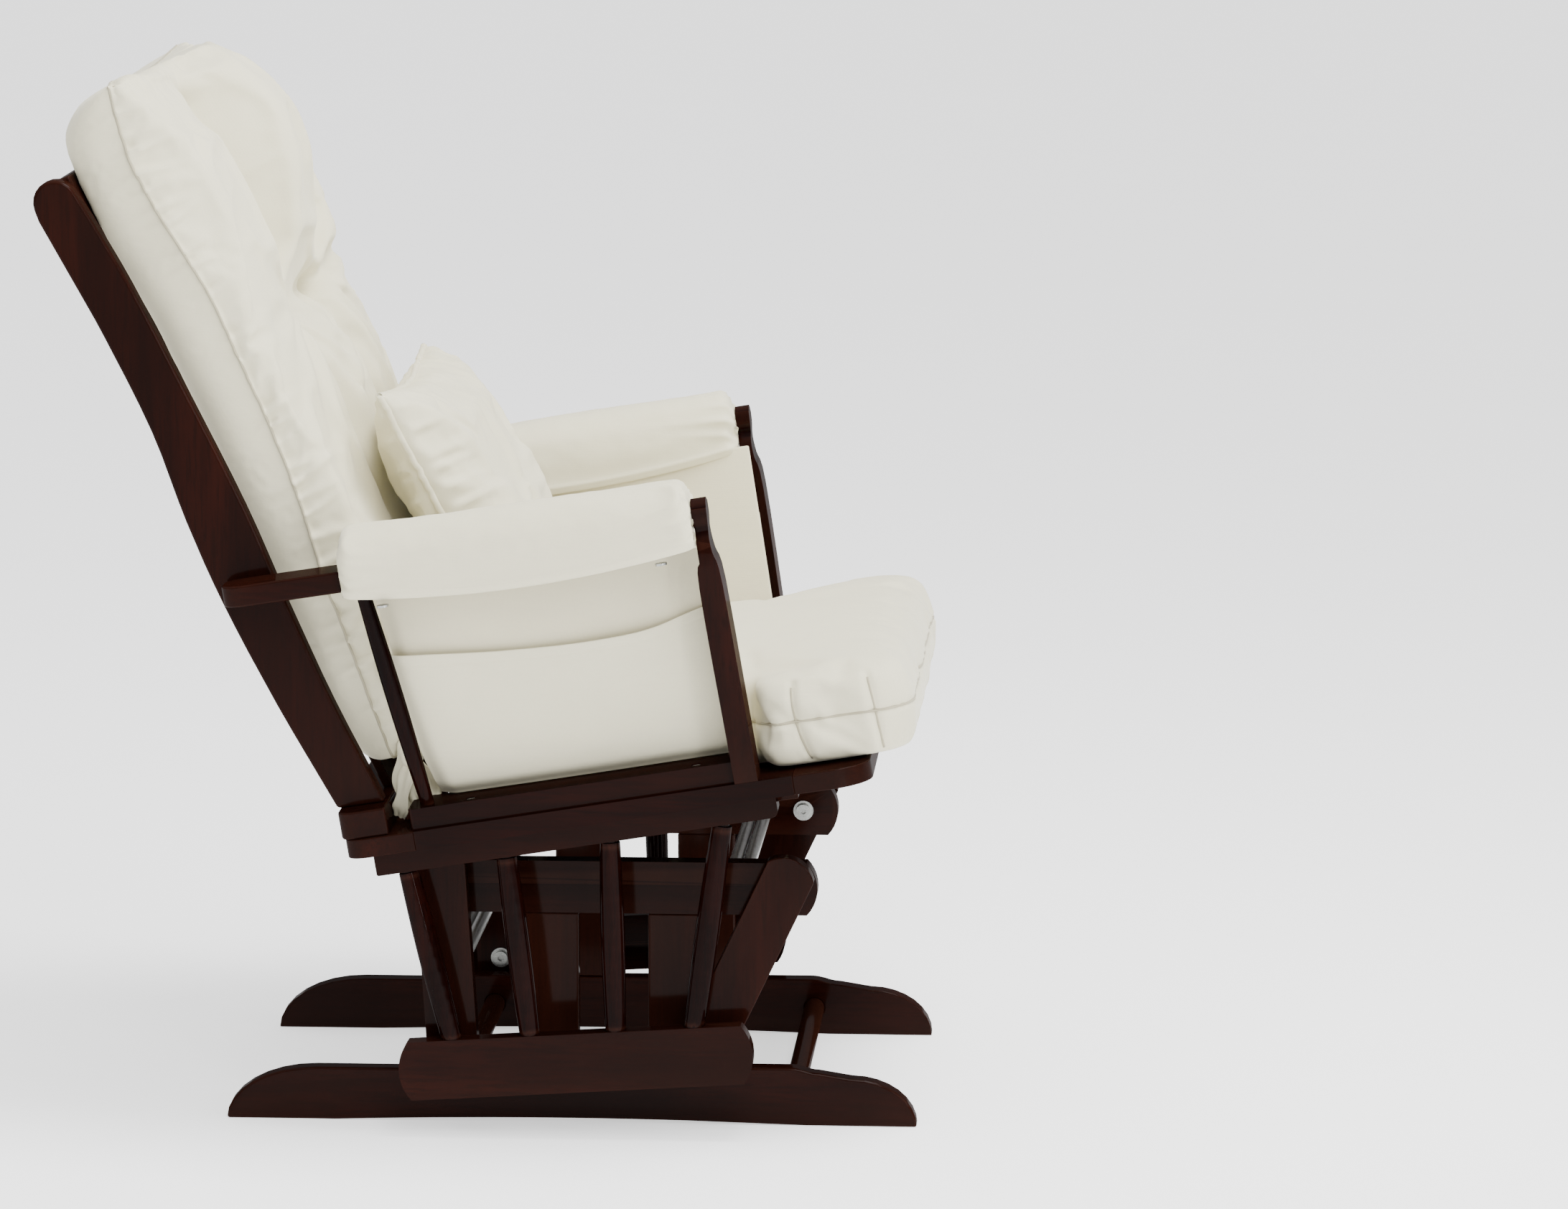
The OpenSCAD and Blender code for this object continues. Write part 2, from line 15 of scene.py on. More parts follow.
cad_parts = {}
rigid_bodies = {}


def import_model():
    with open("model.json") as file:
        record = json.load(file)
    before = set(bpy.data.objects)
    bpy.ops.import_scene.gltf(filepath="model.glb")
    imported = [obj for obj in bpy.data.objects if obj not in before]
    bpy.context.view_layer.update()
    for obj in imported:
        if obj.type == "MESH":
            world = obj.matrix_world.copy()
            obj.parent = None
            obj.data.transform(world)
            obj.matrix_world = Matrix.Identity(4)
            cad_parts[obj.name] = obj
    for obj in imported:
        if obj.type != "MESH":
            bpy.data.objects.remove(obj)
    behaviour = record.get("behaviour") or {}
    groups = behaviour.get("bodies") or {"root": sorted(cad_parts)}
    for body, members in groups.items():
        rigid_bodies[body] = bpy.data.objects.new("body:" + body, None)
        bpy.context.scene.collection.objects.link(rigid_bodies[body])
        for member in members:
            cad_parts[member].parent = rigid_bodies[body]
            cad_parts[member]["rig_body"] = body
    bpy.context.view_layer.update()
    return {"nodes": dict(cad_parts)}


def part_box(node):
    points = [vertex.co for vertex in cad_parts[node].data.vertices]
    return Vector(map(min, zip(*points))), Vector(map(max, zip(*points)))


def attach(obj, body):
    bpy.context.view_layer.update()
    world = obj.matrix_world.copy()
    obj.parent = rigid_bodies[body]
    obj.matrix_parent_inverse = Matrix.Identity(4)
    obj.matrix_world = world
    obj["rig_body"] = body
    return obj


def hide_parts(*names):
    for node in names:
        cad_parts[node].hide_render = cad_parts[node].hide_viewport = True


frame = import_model()
NODES = frame["nodes"]
scene = bpy.context.scene
ACROSS = Vector((1, 0, 0))
MM = 0.001


# ---------- frames measured on the CAD parts ----------

def node_points(*names):
    """All the corners of some CAD nodes."""
    return np.array([v.co for n in names for v in NODES[n].data.vertices])


def facing(node, way):
    """Mean normal of the faces of a CAD node that look nearly one way."""
    way = Vector(way).normalized()
    looks = [f.normal * f.area for f in NODES[node].data.polygons if f.normal.dot(way) > 0.93]
    return sum(looks, Vector()).normalized()


def frame_at(up, names, y_of, z_of):
    """Frame with X across the chair and Z along up. y_of and z_of pick its origin from the nodes' points."""
    rotation = Matrix((ACROSS, up.cross(ACROSS), up)).transposed()
    points = node_points(*names) @ np.array(rotation)
    origin = rotation @ Vector((0, y_of(points[:, 1]), z_of(points[:, 2])))
    return Matrix.Translation(origin) @ rotation.to_4x4()


SLAT_FRONT = 0.020              # the back slats' front face stands this far before the post's middle
BACK_TOP = 0.646                # top of the crest rail above the posts' foot
SEAT = frame_at(facing("seat_rail_rear", (0, 0, 1)),
                ["seat_rail_front", "seat_rail_rear", "seat_rail_left"],
                lambda y: (y.min() + y.max()) / 2, lambda z: z.max())
back_normal = facing("back_slats", (0, -1, 0.5))
BACK = frame_at(ACROSS.cross(-back_normal), ["back_slats", "back_rail_top"],
                lambda u: u.min() + SLAT_FRONT + 0.002, lambda w: w.max() - BACK_TOP)
SEAT_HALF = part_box("seat_rail_front")[1].x
panel_normal = facing("side_panel_left", (1, 0, 0))
SPLAY = math.asin(-panel_normal.dot(SEAT.col[2].xyz))
ARM = SEAT @ Matrix.Translation((SEAT_HALF, 0, 0)) @ Matrix.Rotation(SPLAY, 4, "Y")


# ---------- material nodes ----------

class Nodes:
    """Short names for building a node material."""

    def __init__(self, name):
        self.material = bpy.data.materials.new(name)
        self.material.use_nodes = True
        self.tree = self.material.node_tree
        self.shader = self.tree.nodes["Principled BSDF"]
        self.place = self.add("ShaderNodeTexCoord").outputs["Object"]

    def add(self, kind, **settings):
        node = self.tree.nodes.new(kind)
        for key, value in settings.items():
            if hasattr(node, key):
                setattr(node, key, value)
            else:
                node.inputs[key.replace("_", " ").capitalize()].default_value = value
        return node

    def link(self, a, b):
        self.tree.links.new(a, b)

    def mapped(self, scale, turn=(0, 0, 0)):
        node = self.add("ShaderNodeMapping")
        node.inputs["Rotation"].default_value = turn
        node.inputs["Scale"].default_value = scale
        self.link(self.place, node.inputs["Vector"])
        return node.outputs["Vector"]

    def noise(self, vector, scale, detail=4.0, roughness=0.55, distortion=0.0):
        node = self.add("ShaderNodeTexNoise")
        for key, value in (("Scale", scale), ("Detail", detail), ("Roughness", roughness),
                           ("Distortion", distortion)):
            node.inputs[key].default_value = value
        self.link(vector, node.inputs["Vector"])
        return node.outputs["Fac"]

    def ramp(self, factor, *stops):
        node = self.add("ShaderNodeValToRGB")
        elements = node.color_ramp.elements
        while len(elements) < len(stops):
            elements.new(0.5)
        for element, (position, color) in zip(elements, stops):
            element.position = position
            element.color = (*color, 1) if hasattr(color, "__len__") else (color, color, color, 1)
        self.link(factor, node.inputs["Fac"])
        return node.outputs["Color"]

    def mix(self, factor, a, b, blend="MIX"):
        node = self.add("ShaderNodeMix", data_type="RGBA", blend_type=blend)
        if isinstance(factor, float):
            node.inputs["Factor"].default_value = factor
        else:
            self.link(factor, node.inputs["Factor"])
        for value, socket in ((a, node.inputs[6]), (b, node.inputs[7])):
            if isinstance(value, tuple):
                socket.default_value = (*value, 1)
            else:
                self.link(value, socket)
        return node.outputs[2]

    def bump(self, height, strength, distance, below=None):
        node = self.add("ShaderNodeBump")
        node.inputs["Strength"].default_value = strength
        node.inputs["Distance"].default_value = distance
        self.link(height, node.inputs["Height"])
        if below is not None:
            self.link(below, node.inputs["Normal"])
        return node.outputs["Normal"]

    def done(self, color, rough, normal, **constants):
        for value, name in ((color, "Base Color"), (rough, "Roughness"), (normal, "Normal")):
            if value is not None:
                self.link(value, self.shader.inputs[name])
        for key, value in constants.items():
            self.shader.inputs[key.replace("_", " ")].default_value = value
        return self.material


def wood(name, grain, turn=(0, 0, 0)):
    """Espresso stained wood under satin lacquer, with a painted highlight along its edges. grain is the axis
    that its fibres follow.
    """
    n = Nodes(name)
    along = [26.0, 26.0, 26.0]
    along["XYZ".index(grain)] = 1.6
    fibres = n.noise(n.mapped(along, turn), 1.0, 7.0, 0.62, 0.7)
    pores = n.noise(n.mapped([a * 11 for a in along], turn), 1.0, 3.0, 0.7, 0.2)
    clouds = n.noise(n.mapped((7, 7, 7)), 1.0, 3.0, 0.5, 0.3)
    figure = n.ramp(fibres, (0.30, (0.0026, 0.0006, 0.0005)), (0.50, (0.0052, 0.0009, 0.0006)),
                    (0.72, (0.0110, 0.0019, 0.0010)))
    stain = n.ramp(clouds, (0.34, (0.55, 0.50, 0.50)), (0.66, (1.45, 1.30, 1.15)))
    color = n.mix(0.85, figure, stain, "MULTIPLY")
    color = n.mix(n.ramp(pores, (0.40, 0.55), (0.50, 0.0)), color, (0.0018, 0.0005, 0.0004))
    # Painted highlight: a lighter reddish rim along the rounded edges, where the lacquer would catch the
    # lamps.
    edge = n.add("ShaderNodeNewGeometry").outputs["Pointiness"]
    color = n.mix(n.ramp(edge, (0.515, 0.0), (0.56, 0.38)), color, (0.036, 0.012, 0.007))
    rough = n.ramp(fibres, (0.3, 0.22), (0.7, 0.34))
    normal = n.bump(pores, 0.08, 0.0003)
    normal = n.bump(n.noise(n.mapped([a * 0.35 for a in along], turn), 1.0, 2.0), 0.07, 0.0010, normal)
    return n.done(color, rough, normal, Coat_Weight=0.09, Coat_Roughness=0.10,
                  Specular_IOR_Level=0.0)


def steel(name, color, low, high):
    """Plated or drawn steel with fine scratches."""
    n = Nodes(name)
    scratches = n.noise(n.mapped((40, 900, 900)), 1.0, 4.0, 0.7)
    spots = n.noise(n.mapped((160, 160, 160)), 1.0, 3.0)
    tint = n.ramp(spots, (0.35, tuple(c * 0.82 for c in color)), (0.65, color))
    return n.done(tint, n.ramp(scratches, (0.3, low), (0.7, high)),
                  n.bump(scratches, 0.08, 0.0002), Metallic=1.0)


def fabric(name, color):
    """Brushed cream microfibre: a fine weave, a soft nap and faint brushing marks."""
    n = Nodes(name)
    across = n.add("ShaderNodeTexWave", wave_type="BANDS", bands_direction="X")
    down = n.add("ShaderNodeTexWave", wave_type="BANDS", bands_direction="Z")
    for wave in (across, down):
        wave.inputs["Scale"].default_value = 260
        wave.inputs["Distortion"].default_value = 1.5
        wave.inputs["Detail"].default_value = 2
        wave.inputs["Detail Scale"].default_value = 3
        n.link(n.mapped((1, 1, 1)), wave.inputs["Vector"])
    weave = n.mix(0.5, across.outputs["Color"], down.outputs["Color"])
    nap = n.noise(n.mapped((420, 420, 420)), 1.0, 3.0, 0.7)
    brush = n.noise(n.mapped((9, 5, 14)), 1.0, 5.0, 0.6, 1.2)
    slubs = n.noise(n.mapped((30, 14, 190)), 1.0, 3.0, 0.6)
    shade = n.ramp(brush, (0.32, tuple(c * 0.955 for c in color)), (0.66, color))
    shade = n.mix(n.ramp(slubs, (0.56, 0.0), (0.74, 0.22)), shade, tuple(c * 0.90 for c in color))
    shade = n.mix(n.ramp(nap, (0.35, 0.18), (0.6, 0.0)), shade, tuple(c * 0.86 for c in color))
    normal = n.bump(weave, 0.16, 0.0003)
    normal = n.bump(nap, 0.20, 0.0004, normal)
    normal = n.bump(brush, 0.10, 0.0030, normal)
    return n.done(shade, n.ramp(nap, (0.3, 0.86), (0.7, 0.97)), normal, Sheen_Weight=0.22,
                  Sheen_Roughness=0.45, Specular_IOR_Level=0.18)


BACK_TURN = (math.atan2(BACK.col[2].y, BACK.col[2].z), 0, 0)
WOOD = {"X": wood("wood_across", "X"), "Y": wood("wood_lengthways", "Y"), "Z": wood("wood_upright", "Z"),
        "back": wood("wood_back", "Z", BACK_TURN)}
ZINC = steel("zinc_plate", (0.46, 0.47, 0.45), 0.22, 0.42)
STEEL = steel("drawn_steel", (0.36, 0.36, 0.35), 0.30, 0.48)
CREAM = fabric("cream_microfibre", (0.69, 0.650, 0.475))
LINING = fabric("cream_panel", (0.69, 0.640, 0.460))
# A dark tone for the thin lines in the seams and darts: painted shade where the cloth folds into the seam.
SEAM_SHADE_PAINT = fabric("painted_seam_shade", (0.40, 0.365, 0.26))


# ---------- wooden parts: the CAD shapes with eased edges ----------

def set_material(piece, material):
    piece.data.materials.clear()
    piece.data.materials.append(material)


def join_flat_faces(bm):
    """Welds a CAD node's triangles and joins those that lie in one plane."""
    bmesh.ops.remove_doubles(bm, verts=bm.verts, dist=0.00002)
    bmesh.ops.dissolve_limit(bm, angle_limit=math.radians(0.8), verts=bm.verts, edges=bm.edges)


def eased(node, material, radius):
    """Stands for a wooden CAD node: the same board with its edges rounded over."""
    mesh = bpy.data.meshes.new(node + "_eased")
    bm = bmesh.new()
    bm.from_mesh(NODES[node].data)
    join_flat_faces(bm)
    bm.to_mesh(mesh)
    bm.free()
    piece = bpy.data.objects.new(node + "_wood", mesh)
    scene.collection.objects.link(piece)
    mesh.shade_smooth()
    set_material(piece, material)
    bevel = piece.modifiers.new("Eased edges", "BEVEL")
    bevel.width = radius
    bevel.segments = 3
    bevel.limit_method = "ANGLE"
    bevel.angle_limit = math.radians(32)
    bevel.miter_outer = "MITER_ARC"
    piece.modifiers.new("Flat faces", "WEIGHTED_NORMAL").keep_sharp = True
    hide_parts(node)
    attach(piece, NODES[node]["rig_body"])
    return piece


BOARDS = [
    ("Y", 2.6, ["runner", "base_rail", "lower_board"]),
    ("Y", 2.2, ["spindle_rail", "seat_rail", "arm_base_rail", "arm_rail"]),
    ("Z", 2.4, ["upright_front", "upright_rear", "link_front", "link_rear"]),
    ("back", 3.2, ["back_post"]),
    ("Z", 2.2, ["arm_post"]),
]
for grain, edge, names in BOARDS:
    for name in names:
        for side in ("_right", "_left"):
            eased(name + side, WOOD[grain], edge * MM)
for name, grain, edge in (("seat_rail_front", "X", 2.6), ("seat_rail_rear", "X", 2.6),
                          ("back_rail_bottom", "X", 3.0), ("back_rail_top", "X", 3.0),
                          ("back_slats", "back", 1.6), ("seat_slats", "X", 1.4),
                          ("seat_cleats", "Y", 1.2)):
    eased(name, WOOD[grain], edge * MM)
for name in ("floor_stretcher_front", "floor_stretcher_rear"):
    set_material(NODES[name], WOOD["X"])
for name in ("basket_spindles", "arm_dowel"):
    for side in ("_right", "_left"):
        set_material(NODES[name + side], WOOD["Z"])
for name in ("upper_pivot_bolts", "lower_pivot_bolts", "arm_screws", "pad_snaps"):
    set_material(NODES[name], ZINC)
for name in ("base_tubes_front", "base_tubes_rear", "rear_link_tubes", "upper_pivot_spacers",
             "lower_pivot_spacers", "front_link_bushes", "rear_link_bushes"):
    set_material(NODES[name], STEEL)


# ---------- shaping tools for soft pieces ----------

def curve(*points):
    """Smooth function through (x, y) points."""
    xs, ys = np.array(points, float).T
    slopes = np.gradient(ys, xs)

    def value(x):
        i = np.clip(np.searchsorted(xs, x) - 1, 0, len(xs) - 2)
        step = xs[i + 1] - xs[i]
        t = np.clip((x - xs[i]) / step, 0, 1)
        return ((2 * t**3 - 3 * t**2 + 1) * ys[i] + (t**3 - 2 * t**2 + t) * step * slopes[i]
                + (3 * t**2 - 2 * t**3) * ys[i + 1] + (t**3 - t**2) * step * slopes[i + 1])
    return value


def ease(x, low, high):
    """Smooth step from 0 at low to 1 at high."""
    t = np.clip((x - low) / (high - low), 0, 1)
    return t * t * (3 - 2 * t)


def bell(x, width):
    return np.exp(-(x / width) ** 2)


def cushion_section(half, depth, power, count):
    """Evenly spaced points round half a cushion's section: (place across, fullness from 0 to 1)."""
    t = np.linspace(-math.pi / 2, math.pi / 2, 2001)
    x = half * np.sign(np.sin(t)) * np.abs(np.sin(t)) ** power
    full = np.abs(np.cos(t)) ** power
    length = np.concatenate([[0], np.cumsum(np.hypot(np.diff(x), np.diff(full * depth)))])
    even = np.linspace(0, length[-1], count)
    full = np.interp(even, length, full)
    full[[0, -1]] = 0
    return np.interp(even, length, x), full


def new_piece(name, points, faces, matrix, flip=False):
    """Mesh object from points in millimetres in one of the chair's frames."""
    world = np.c_[np.asarray(points, float).reshape(-1, 3) * MM, np.ones(len(points))] @ np.array(matrix).T
    mesh = bpy.data.meshes.new(name)
    faces = [f[::-1] for f in faces] if flip else faces
    mesh.from_pydata(world[:, :3].tolist(), [], faces)
    mesh.update()
    mesh.shade_smooth()
    piece = bpy.data.objects.new(name, mesh)
    scene.collection.objects.link(piece)
    return piece


def quads(index):
    """Four-sided faces of a grid of vertex numbers."""
    corners = (index[:-1, :-1], index[:-1, 1:], index[1:, 1:], index[1:, :-1])
    return np.stack(corners, -1).reshape(-1, 4)


def sewn_pair(name, front, rear, matrix, **values):
    """Two panels sewn together all round. values are numbers kept for each vertex, as (front, rear)."""
    rows, cols = front.shape[:2]
    first = np.arange(rows * cols).reshape(rows, cols)
    second = first.copy()
    inner = (slice(1, -1), slice(1, -1))
    second[inner] = rows * cols + np.arange((rows - 2) * (cols - 2)).reshape(rows - 2, cols - 2)
    points = np.concatenate([front.reshape(-1, 3), rear[inner].reshape(-1, 3)])
    faces = np.concatenate([quads(first), quads(second)[:, ::-1]])
    piece = new_piece(name, points, faces.tolist(), matrix)
    for key, (on_front, on_rear) in values.items():
        kept = np.concatenate([on_front.ravel(), on_rear[inner].ravel()]).astype(np.float32)
        piece.data.attributes.new(key, "FLOAT", "POINT").data.foreach_set("value", kept)
    return piece


def kept(piece, key):
    values = np.zeros(len(piece.data.vertices), np.float32)
    piece.data.attributes[key].data.foreach_get("value", values)
    return values.astype(float)


def points_of(mesh, matrix=None):
    """Vertex positions, in millimetres in a frame if one is given, or else in metres."""
    co = np.zeros(len(mesh.vertices) * 3, np.float32)
    mesh.vertices.foreach_get("co", co)
    co = co.reshape(-1, 3).astype(float)
    if matrix is None:
        return co
    return (np.c_[co, np.ones(len(co))] @ np.array(matrix.inverted()).T)[:, :3] / MM


def move_to(piece, points, matrix=None):
    if matrix is not None:
        points = (np.c_[points * MM, np.ones(len(points))] @ np.array(matrix).T)[:, :3]
    piece.data.vertices.foreach_set("co", points.astype(np.float32).ravel())
    piece.data.update()


def normals_of(mesh):
    values = np.zeros(len(mesh.vertices) * 3, np.float32)
    mesh.vertex_normals.foreach_get("vector", values)
    return values.reshape(-1, 3).astype(float)


def raise_by(piece, height):
    """Moves each vertex along its normal by a height in millimetres."""
    move_to(piece, points_of(piece.data) + normals_of(piece.data) * (height * MM)[:, None])


def evaluated(piece):
    """The piece's mesh with its modifiers applied, in place of its own."""
    graph = bpy.context.evaluated_depsgraph_get()
    mesh = bpy.data.meshes.new_from_object(piece.evaluated_get(graph), preserve_all_data_layers=True,
                                           depsgraph=graph)
    piece.modifiers.clear()
    piece.data = mesh
    mesh.shade_smooth()


def subdivide(piece):
    piece.modifiers.new("Subdivision", "SUBSURF").levels = 1
    evaluated(piece)


def spread(mesh, values, rounds):
    """Values of the vertices averaged with their neighbours', some rounds over."""
    ends = np.zeros(len(mesh.edges) * 2, np.int32)
    mesh.edges.foreach_get("vertices", ends)
    a, b = ends.reshape(-1, 2).T
    count = np.bincount(ends, minlength=len(values))[:, None] + 1.0
    for _ in range(rounds):
        total = values.copy()
        for k in range(values.shape[1]):
            total[:, k] += (np.bincount(a, values[b, k], len(values))
                            + np.bincount(b, values[a, k], len(values)))
        values = total / count
    return values


FILL_FRAMES = 20                # length of a cover's cloth simulation
SMOOTH_ROUNDS = 40              # how widely its even swelling is averaged


def inflate(piece, pinned, pressure, cap, grow, swell):
    """Fills a sewn cover by cloth simulation. pinned holds each vertex from 0 to 1; no point moves beyond
    cap millimetres; grow is the share of spare cloth, which gives it its creases; swell is the share of the
    even swelling that stays."""
    start = points_of(piece.data)
    group = piece.vertex_groups.new(name="pinned")
    for level in np.unique(np.round(pinned, 1)):
        if level > 0:
            chosen = np.nonzero(np.round(pinned, 1) == level)[0]
            group.add(chosen.tolist(), float(level), "REPLACE")
    cloth = piece.modifiers.new("Cloth", "CLOTH")
    settings = cloth.settings
    settings.quality = 6
    settings.mass = 0.3
    settings.tension_stiffness = 18
    settings.compression_stiffness = 14
    settings.shear_stiffness = 5
    settings.bending_stiffness = 0.6
    settings.use_pressure = True
    settings.uniform_pressure_force = pressure
    settings.vertex_group_mass = "pinned"
    settings.shrink_min = -grow
    settings.effector_weights.gravity = 0
    cloth.collision_settings.use_collision = False
    cloth.point_cache.frame_start = 1
    cloth.point_cache.frame_end = FILL_FRAMES
    for step in range(1, FILL_FRAMES + 1):
        scene.frame_set(step)
    graph = bpy.context.evaluated_depsgraph_get()
    travel = points_of(piece.evaluated_get(graph).data) - start
    travel -= (1 - swell) * spread(piece.data, travel, SMOOTH_ROUNDS)
    piece.modifiers.clear()
    piece.vertex_groups.clear()
    scene.frame_set(1)
    length = np.maximum(np.linalg.norm(travel, axis=1), 1e-9)
    limit = cap * MM
    move_to(piece, start + travel * (limit * np.tanh(length / limit) / length)[:, None])


def lumps(points, size, seed=0.0):
    """Smooth random values from about -1 to 1 that vary over size millimetres."""
    return np.array([noise.noise(Vector((p[0] / size + seed, p[1] / size, p[2] / size))) for p in points])


def puckers(along, away, seed, spacing, reach, depth):
    """Short narrow creases that run away from a seam: along and away are measured on the cloth."""
    rng = np.random.default_rng(seed)
    height = np.zeros(len(along))
    place = along.min()
    while place < along.max():
        place += spacing * rng.uniform(0.5, 1.6)
        length = reach * rng.uniform(0.5, 1.5)
        lean = rng.uniform(-0.25, 0.25)
        width = rng.uniform(2.6, 4.6)
        line = along - place - lean * away
        height -= depth * rng.uniform(0.4, 1.3) * bell(line, width) * np.exp(-away / length)
        height += 0.45 * depth * bell(line - 2.2 * width, 1.6 * width) * np.exp(-away / length)
    return height


def finish_piece(piece, material, slot, body, *nodes):
    for attribute in [a.name for a in piece.data.attributes if a.name.startswith("at_")]:
        piece.data.attributes.remove(piece.data.attributes[attribute])
    set_material(piece, material)
    if nodes:
        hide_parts(*nodes)
    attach(piece, body)
    return piece


def tube(name, path, radius, matrix, sides=10, closed=True):
    """Round cord along a path in millimetres."""
    path = np.asarray(path, float)
    ahead = np.roll(path, -1, 0) - np.roll(path, 1, 0) if closed else np.gradient(path, axis=0)
    ahead /= np.linalg.norm(ahead, axis=1)[:, None]
    reference = np.array((0.3, 1.0, 0.2)) / np.linalg.norm((0.3, 1.0, 0.2))
    first = np.cross(ahead, reference)
    first /= np.linalg.norm(first, axis=1)[:, None]
    second = np.cross(ahead, first)
    turn = np.linspace(0, 2 * math.pi, sides, endpoint=False)
    ring = first[:, None] * np.cos(turn)[None, :, None] + second[:, None] * np.sin(turn)[None, :, None]
    points = (path[:, None] + radius * ring).reshape(-1, 3)
    index = np.arange(len(points)).reshape(len(path), sides)
    index = np.concatenate([index, index[:, :1]], 1)
    if closed:
        index = np.concatenate([index, index[:1]], 0)
    faces = quads(index).tolist()
    if not closed:
        faces += [list(range(sides))[::-1], list(range(len(points) - sides, len(points)))]
    return new_piece(name, points, faces, matrix)


def rim_loop(points, rows, cols):
    """The border of a grid of points, in order."""
    grid = points[:rows * cols].reshape(rows, cols, 3)
    return np.concatenate([grid[0, :-1], grid[:-1, -1], grid[-1, :0:-1], grid[:0:-1, 0]])


def level_loop(piece, matrix, level, step=4.0):
    """Closed line where a piece crosses a level of a frame, as even points in millimetres."""
    bm = bmesh.new()
    bm.from_mesh(piece.data)
    bm.transform(matrix.inverted())
    cut = bmesh.ops.bisect_plane(bm, geom=bm.verts[:] + bm.edges[:] + bm.faces[:], dist=1e-6,
                                 plane_co=(0, 0, level * MM), plane_no=(0, 0, 1))["geom_cut"]
    edges = {e for e in cut if isinstance(e, bmesh.types.BMEdge)}
    edge = max(edges, key=lambda e: (e.verts[0].co.x, e.verts[0].co.y))
    start = vertex = edge.verts[0]
    loop = [start.co.copy()]
    while True:
        vertex = edge.other_vert(vertex)
        if vertex == start:
            break
        loop.append(vertex.co.copy())
        edge = next(e for e in vertex.link_edges if e in edges and e != edge)
    bm.free()
    loop = np.array(loop + loop[:1]) / MM
    length = np.concatenate([[0], np.cumsum(np.linalg.norm(np.diff(loop, axis=0), axis=1))])
    even = np.arange(0, length[-1] - step / 2, step)
    loop = np.stack([np.interp(even, length, loop[:, k]) for k in range(3)], -1)
    return (np.roll(loop, 1, 0) + 2 * loop + np.roll(loop, -1, 0)) / 4


def on_surface(piece, matrix, points, way):
    """Where lines from some points along one direction of a frame meet a piece, in millimetres."""
    tree = BVHTree.FromPolygons([v.co for v in piece.data.vertices],
                                [p.vertices for p in piece.data.polygons])
    way = (matrix.to_3x3() @ Vector(way)).normalized()
    hits = [tree.ray_cast(matrix @ (Vector(p) * MM), way)[0] for p in points]
    return np.array([matrix.inverted() @ hit / MM for hit in hits if hit is not None])


# ---------- back cushion ----------

SEAM_SHADE_RADIUS = 1.3                 # radius of the dark line of painted shade along a cushion's seam
BACK_HALF = 238
BACK_LOW, BACK_HIGH = 22, 703
TUFT_W, TUFT_X, TUFT_RADIUS = 444, 80, 9
REAR_LIMIT = -23                # the slats' front face
SLATS_HALF = 190                # beyond the outermost slats the cushion may bulge back
SIDE_BULGE = 16
TOP_PLAY = 6                    # the crown may rise this far above the seam
POST_FRONT = -34                # behind here the cushion stays between the posts
seam_u = curve((30, -40), (120, -52), (215, -64), (292, -77), (348, -82), (428, -86), (498, -88), (530, -85),
               (584, -80), (640, -80), (670, -84), (704, -91))
front_depth = curve((14, 46), (60, 74), (150, 70), (215, 64), (269, 60), (324, 61), (372, 60), (440, 57),
                    (485, 64), (517, 71), (563, 81), (596, 84), (633, 81), (668, 73), (704, 58))
crown = curve((30, 0), (300, 0), (347, 3), (390, 0), (430, -6), (468, -5), (504, 12), (544, 29), (583, 39),
              (613, 43), (656, 45), (684, 40), (704, 36))
rear_depth = curve((14, 60), (160, 62), (215, 68), (300, 74), (436, 80), (575, 92), (640, 100), (704, 102))
LEAN = 9                        # the far column stands this much prouder, and the near one less


def back_relief(x, w):
    """How far the front of the back cushion stands proud, in millimetres: its three columns, the two tufts
    between them, and the folds that the tufts pull."""
    upper = ease(w, 452, 500) * (1 - ease(w, 640, 694))
    height = crown(w) * np.exp(-(x / 62) ** 4)
    height += LEAN * np.clip(x / 135, -1, 1) * ease(w, 220, 320) * (1 - ease(w, 600, 690))
    across = np.abs(x)
    middle = 1 - ease(across, 60, 95)
    far = ease(x, -20, 20)
    line = w - TUFT_W - (0.22 * far - 0.10) * (across - TUFT_X).clip(0) + 2 * np.sin(x / 30)
    height -= ((9 + 10 * far) * (1 - 0.5 * ease(across, 130, 225)) + 8 * middle) * bell(line, 9 + 9 * middle)
    for side in (-1, 1):
        lower = ease(w, 170, 320) * (1 - ease(w, 425, 455)) * (0.7 if side < 0 else 1)
        channel = x - side * (TUFT_X + 0.05 * (w - TUFT_W) - 4 * np.sin(w / 46))
        height -= 40 * upper * bell(channel, 17) + 28 * lower * bell(channel, 14)
        away = np.hypot(channel, (w - TUFT_W) * 0.9)
        angle = np.arctan2(w - TUFT_W, side * channel)
        height -= 28 / (1 + (away / 12) ** 2)
        below = ease(-np.sin(angle), 0.1, 0.6)
        height += 5.5 * np.cos(6 * angle + 1.3 + side) * ease(away, 16, 45) * np.exp(-away / 75)
        height += 5.0 * below * np.cos(17 * angle + side) * ease(away, 10, 24) * np.exp(-away / 95)
    return height


def rear_limit(x, w):
    """How far back the cushion may reach: to the slats, or between them and the posts low down."""
    beside = ease(np.abs(x), SLATS_HALF + 2, SLATS_HALF + 14)
    return REAR_LIMIT + SIDE_BULGE * beside * (1 - ease(w, 230, 330))


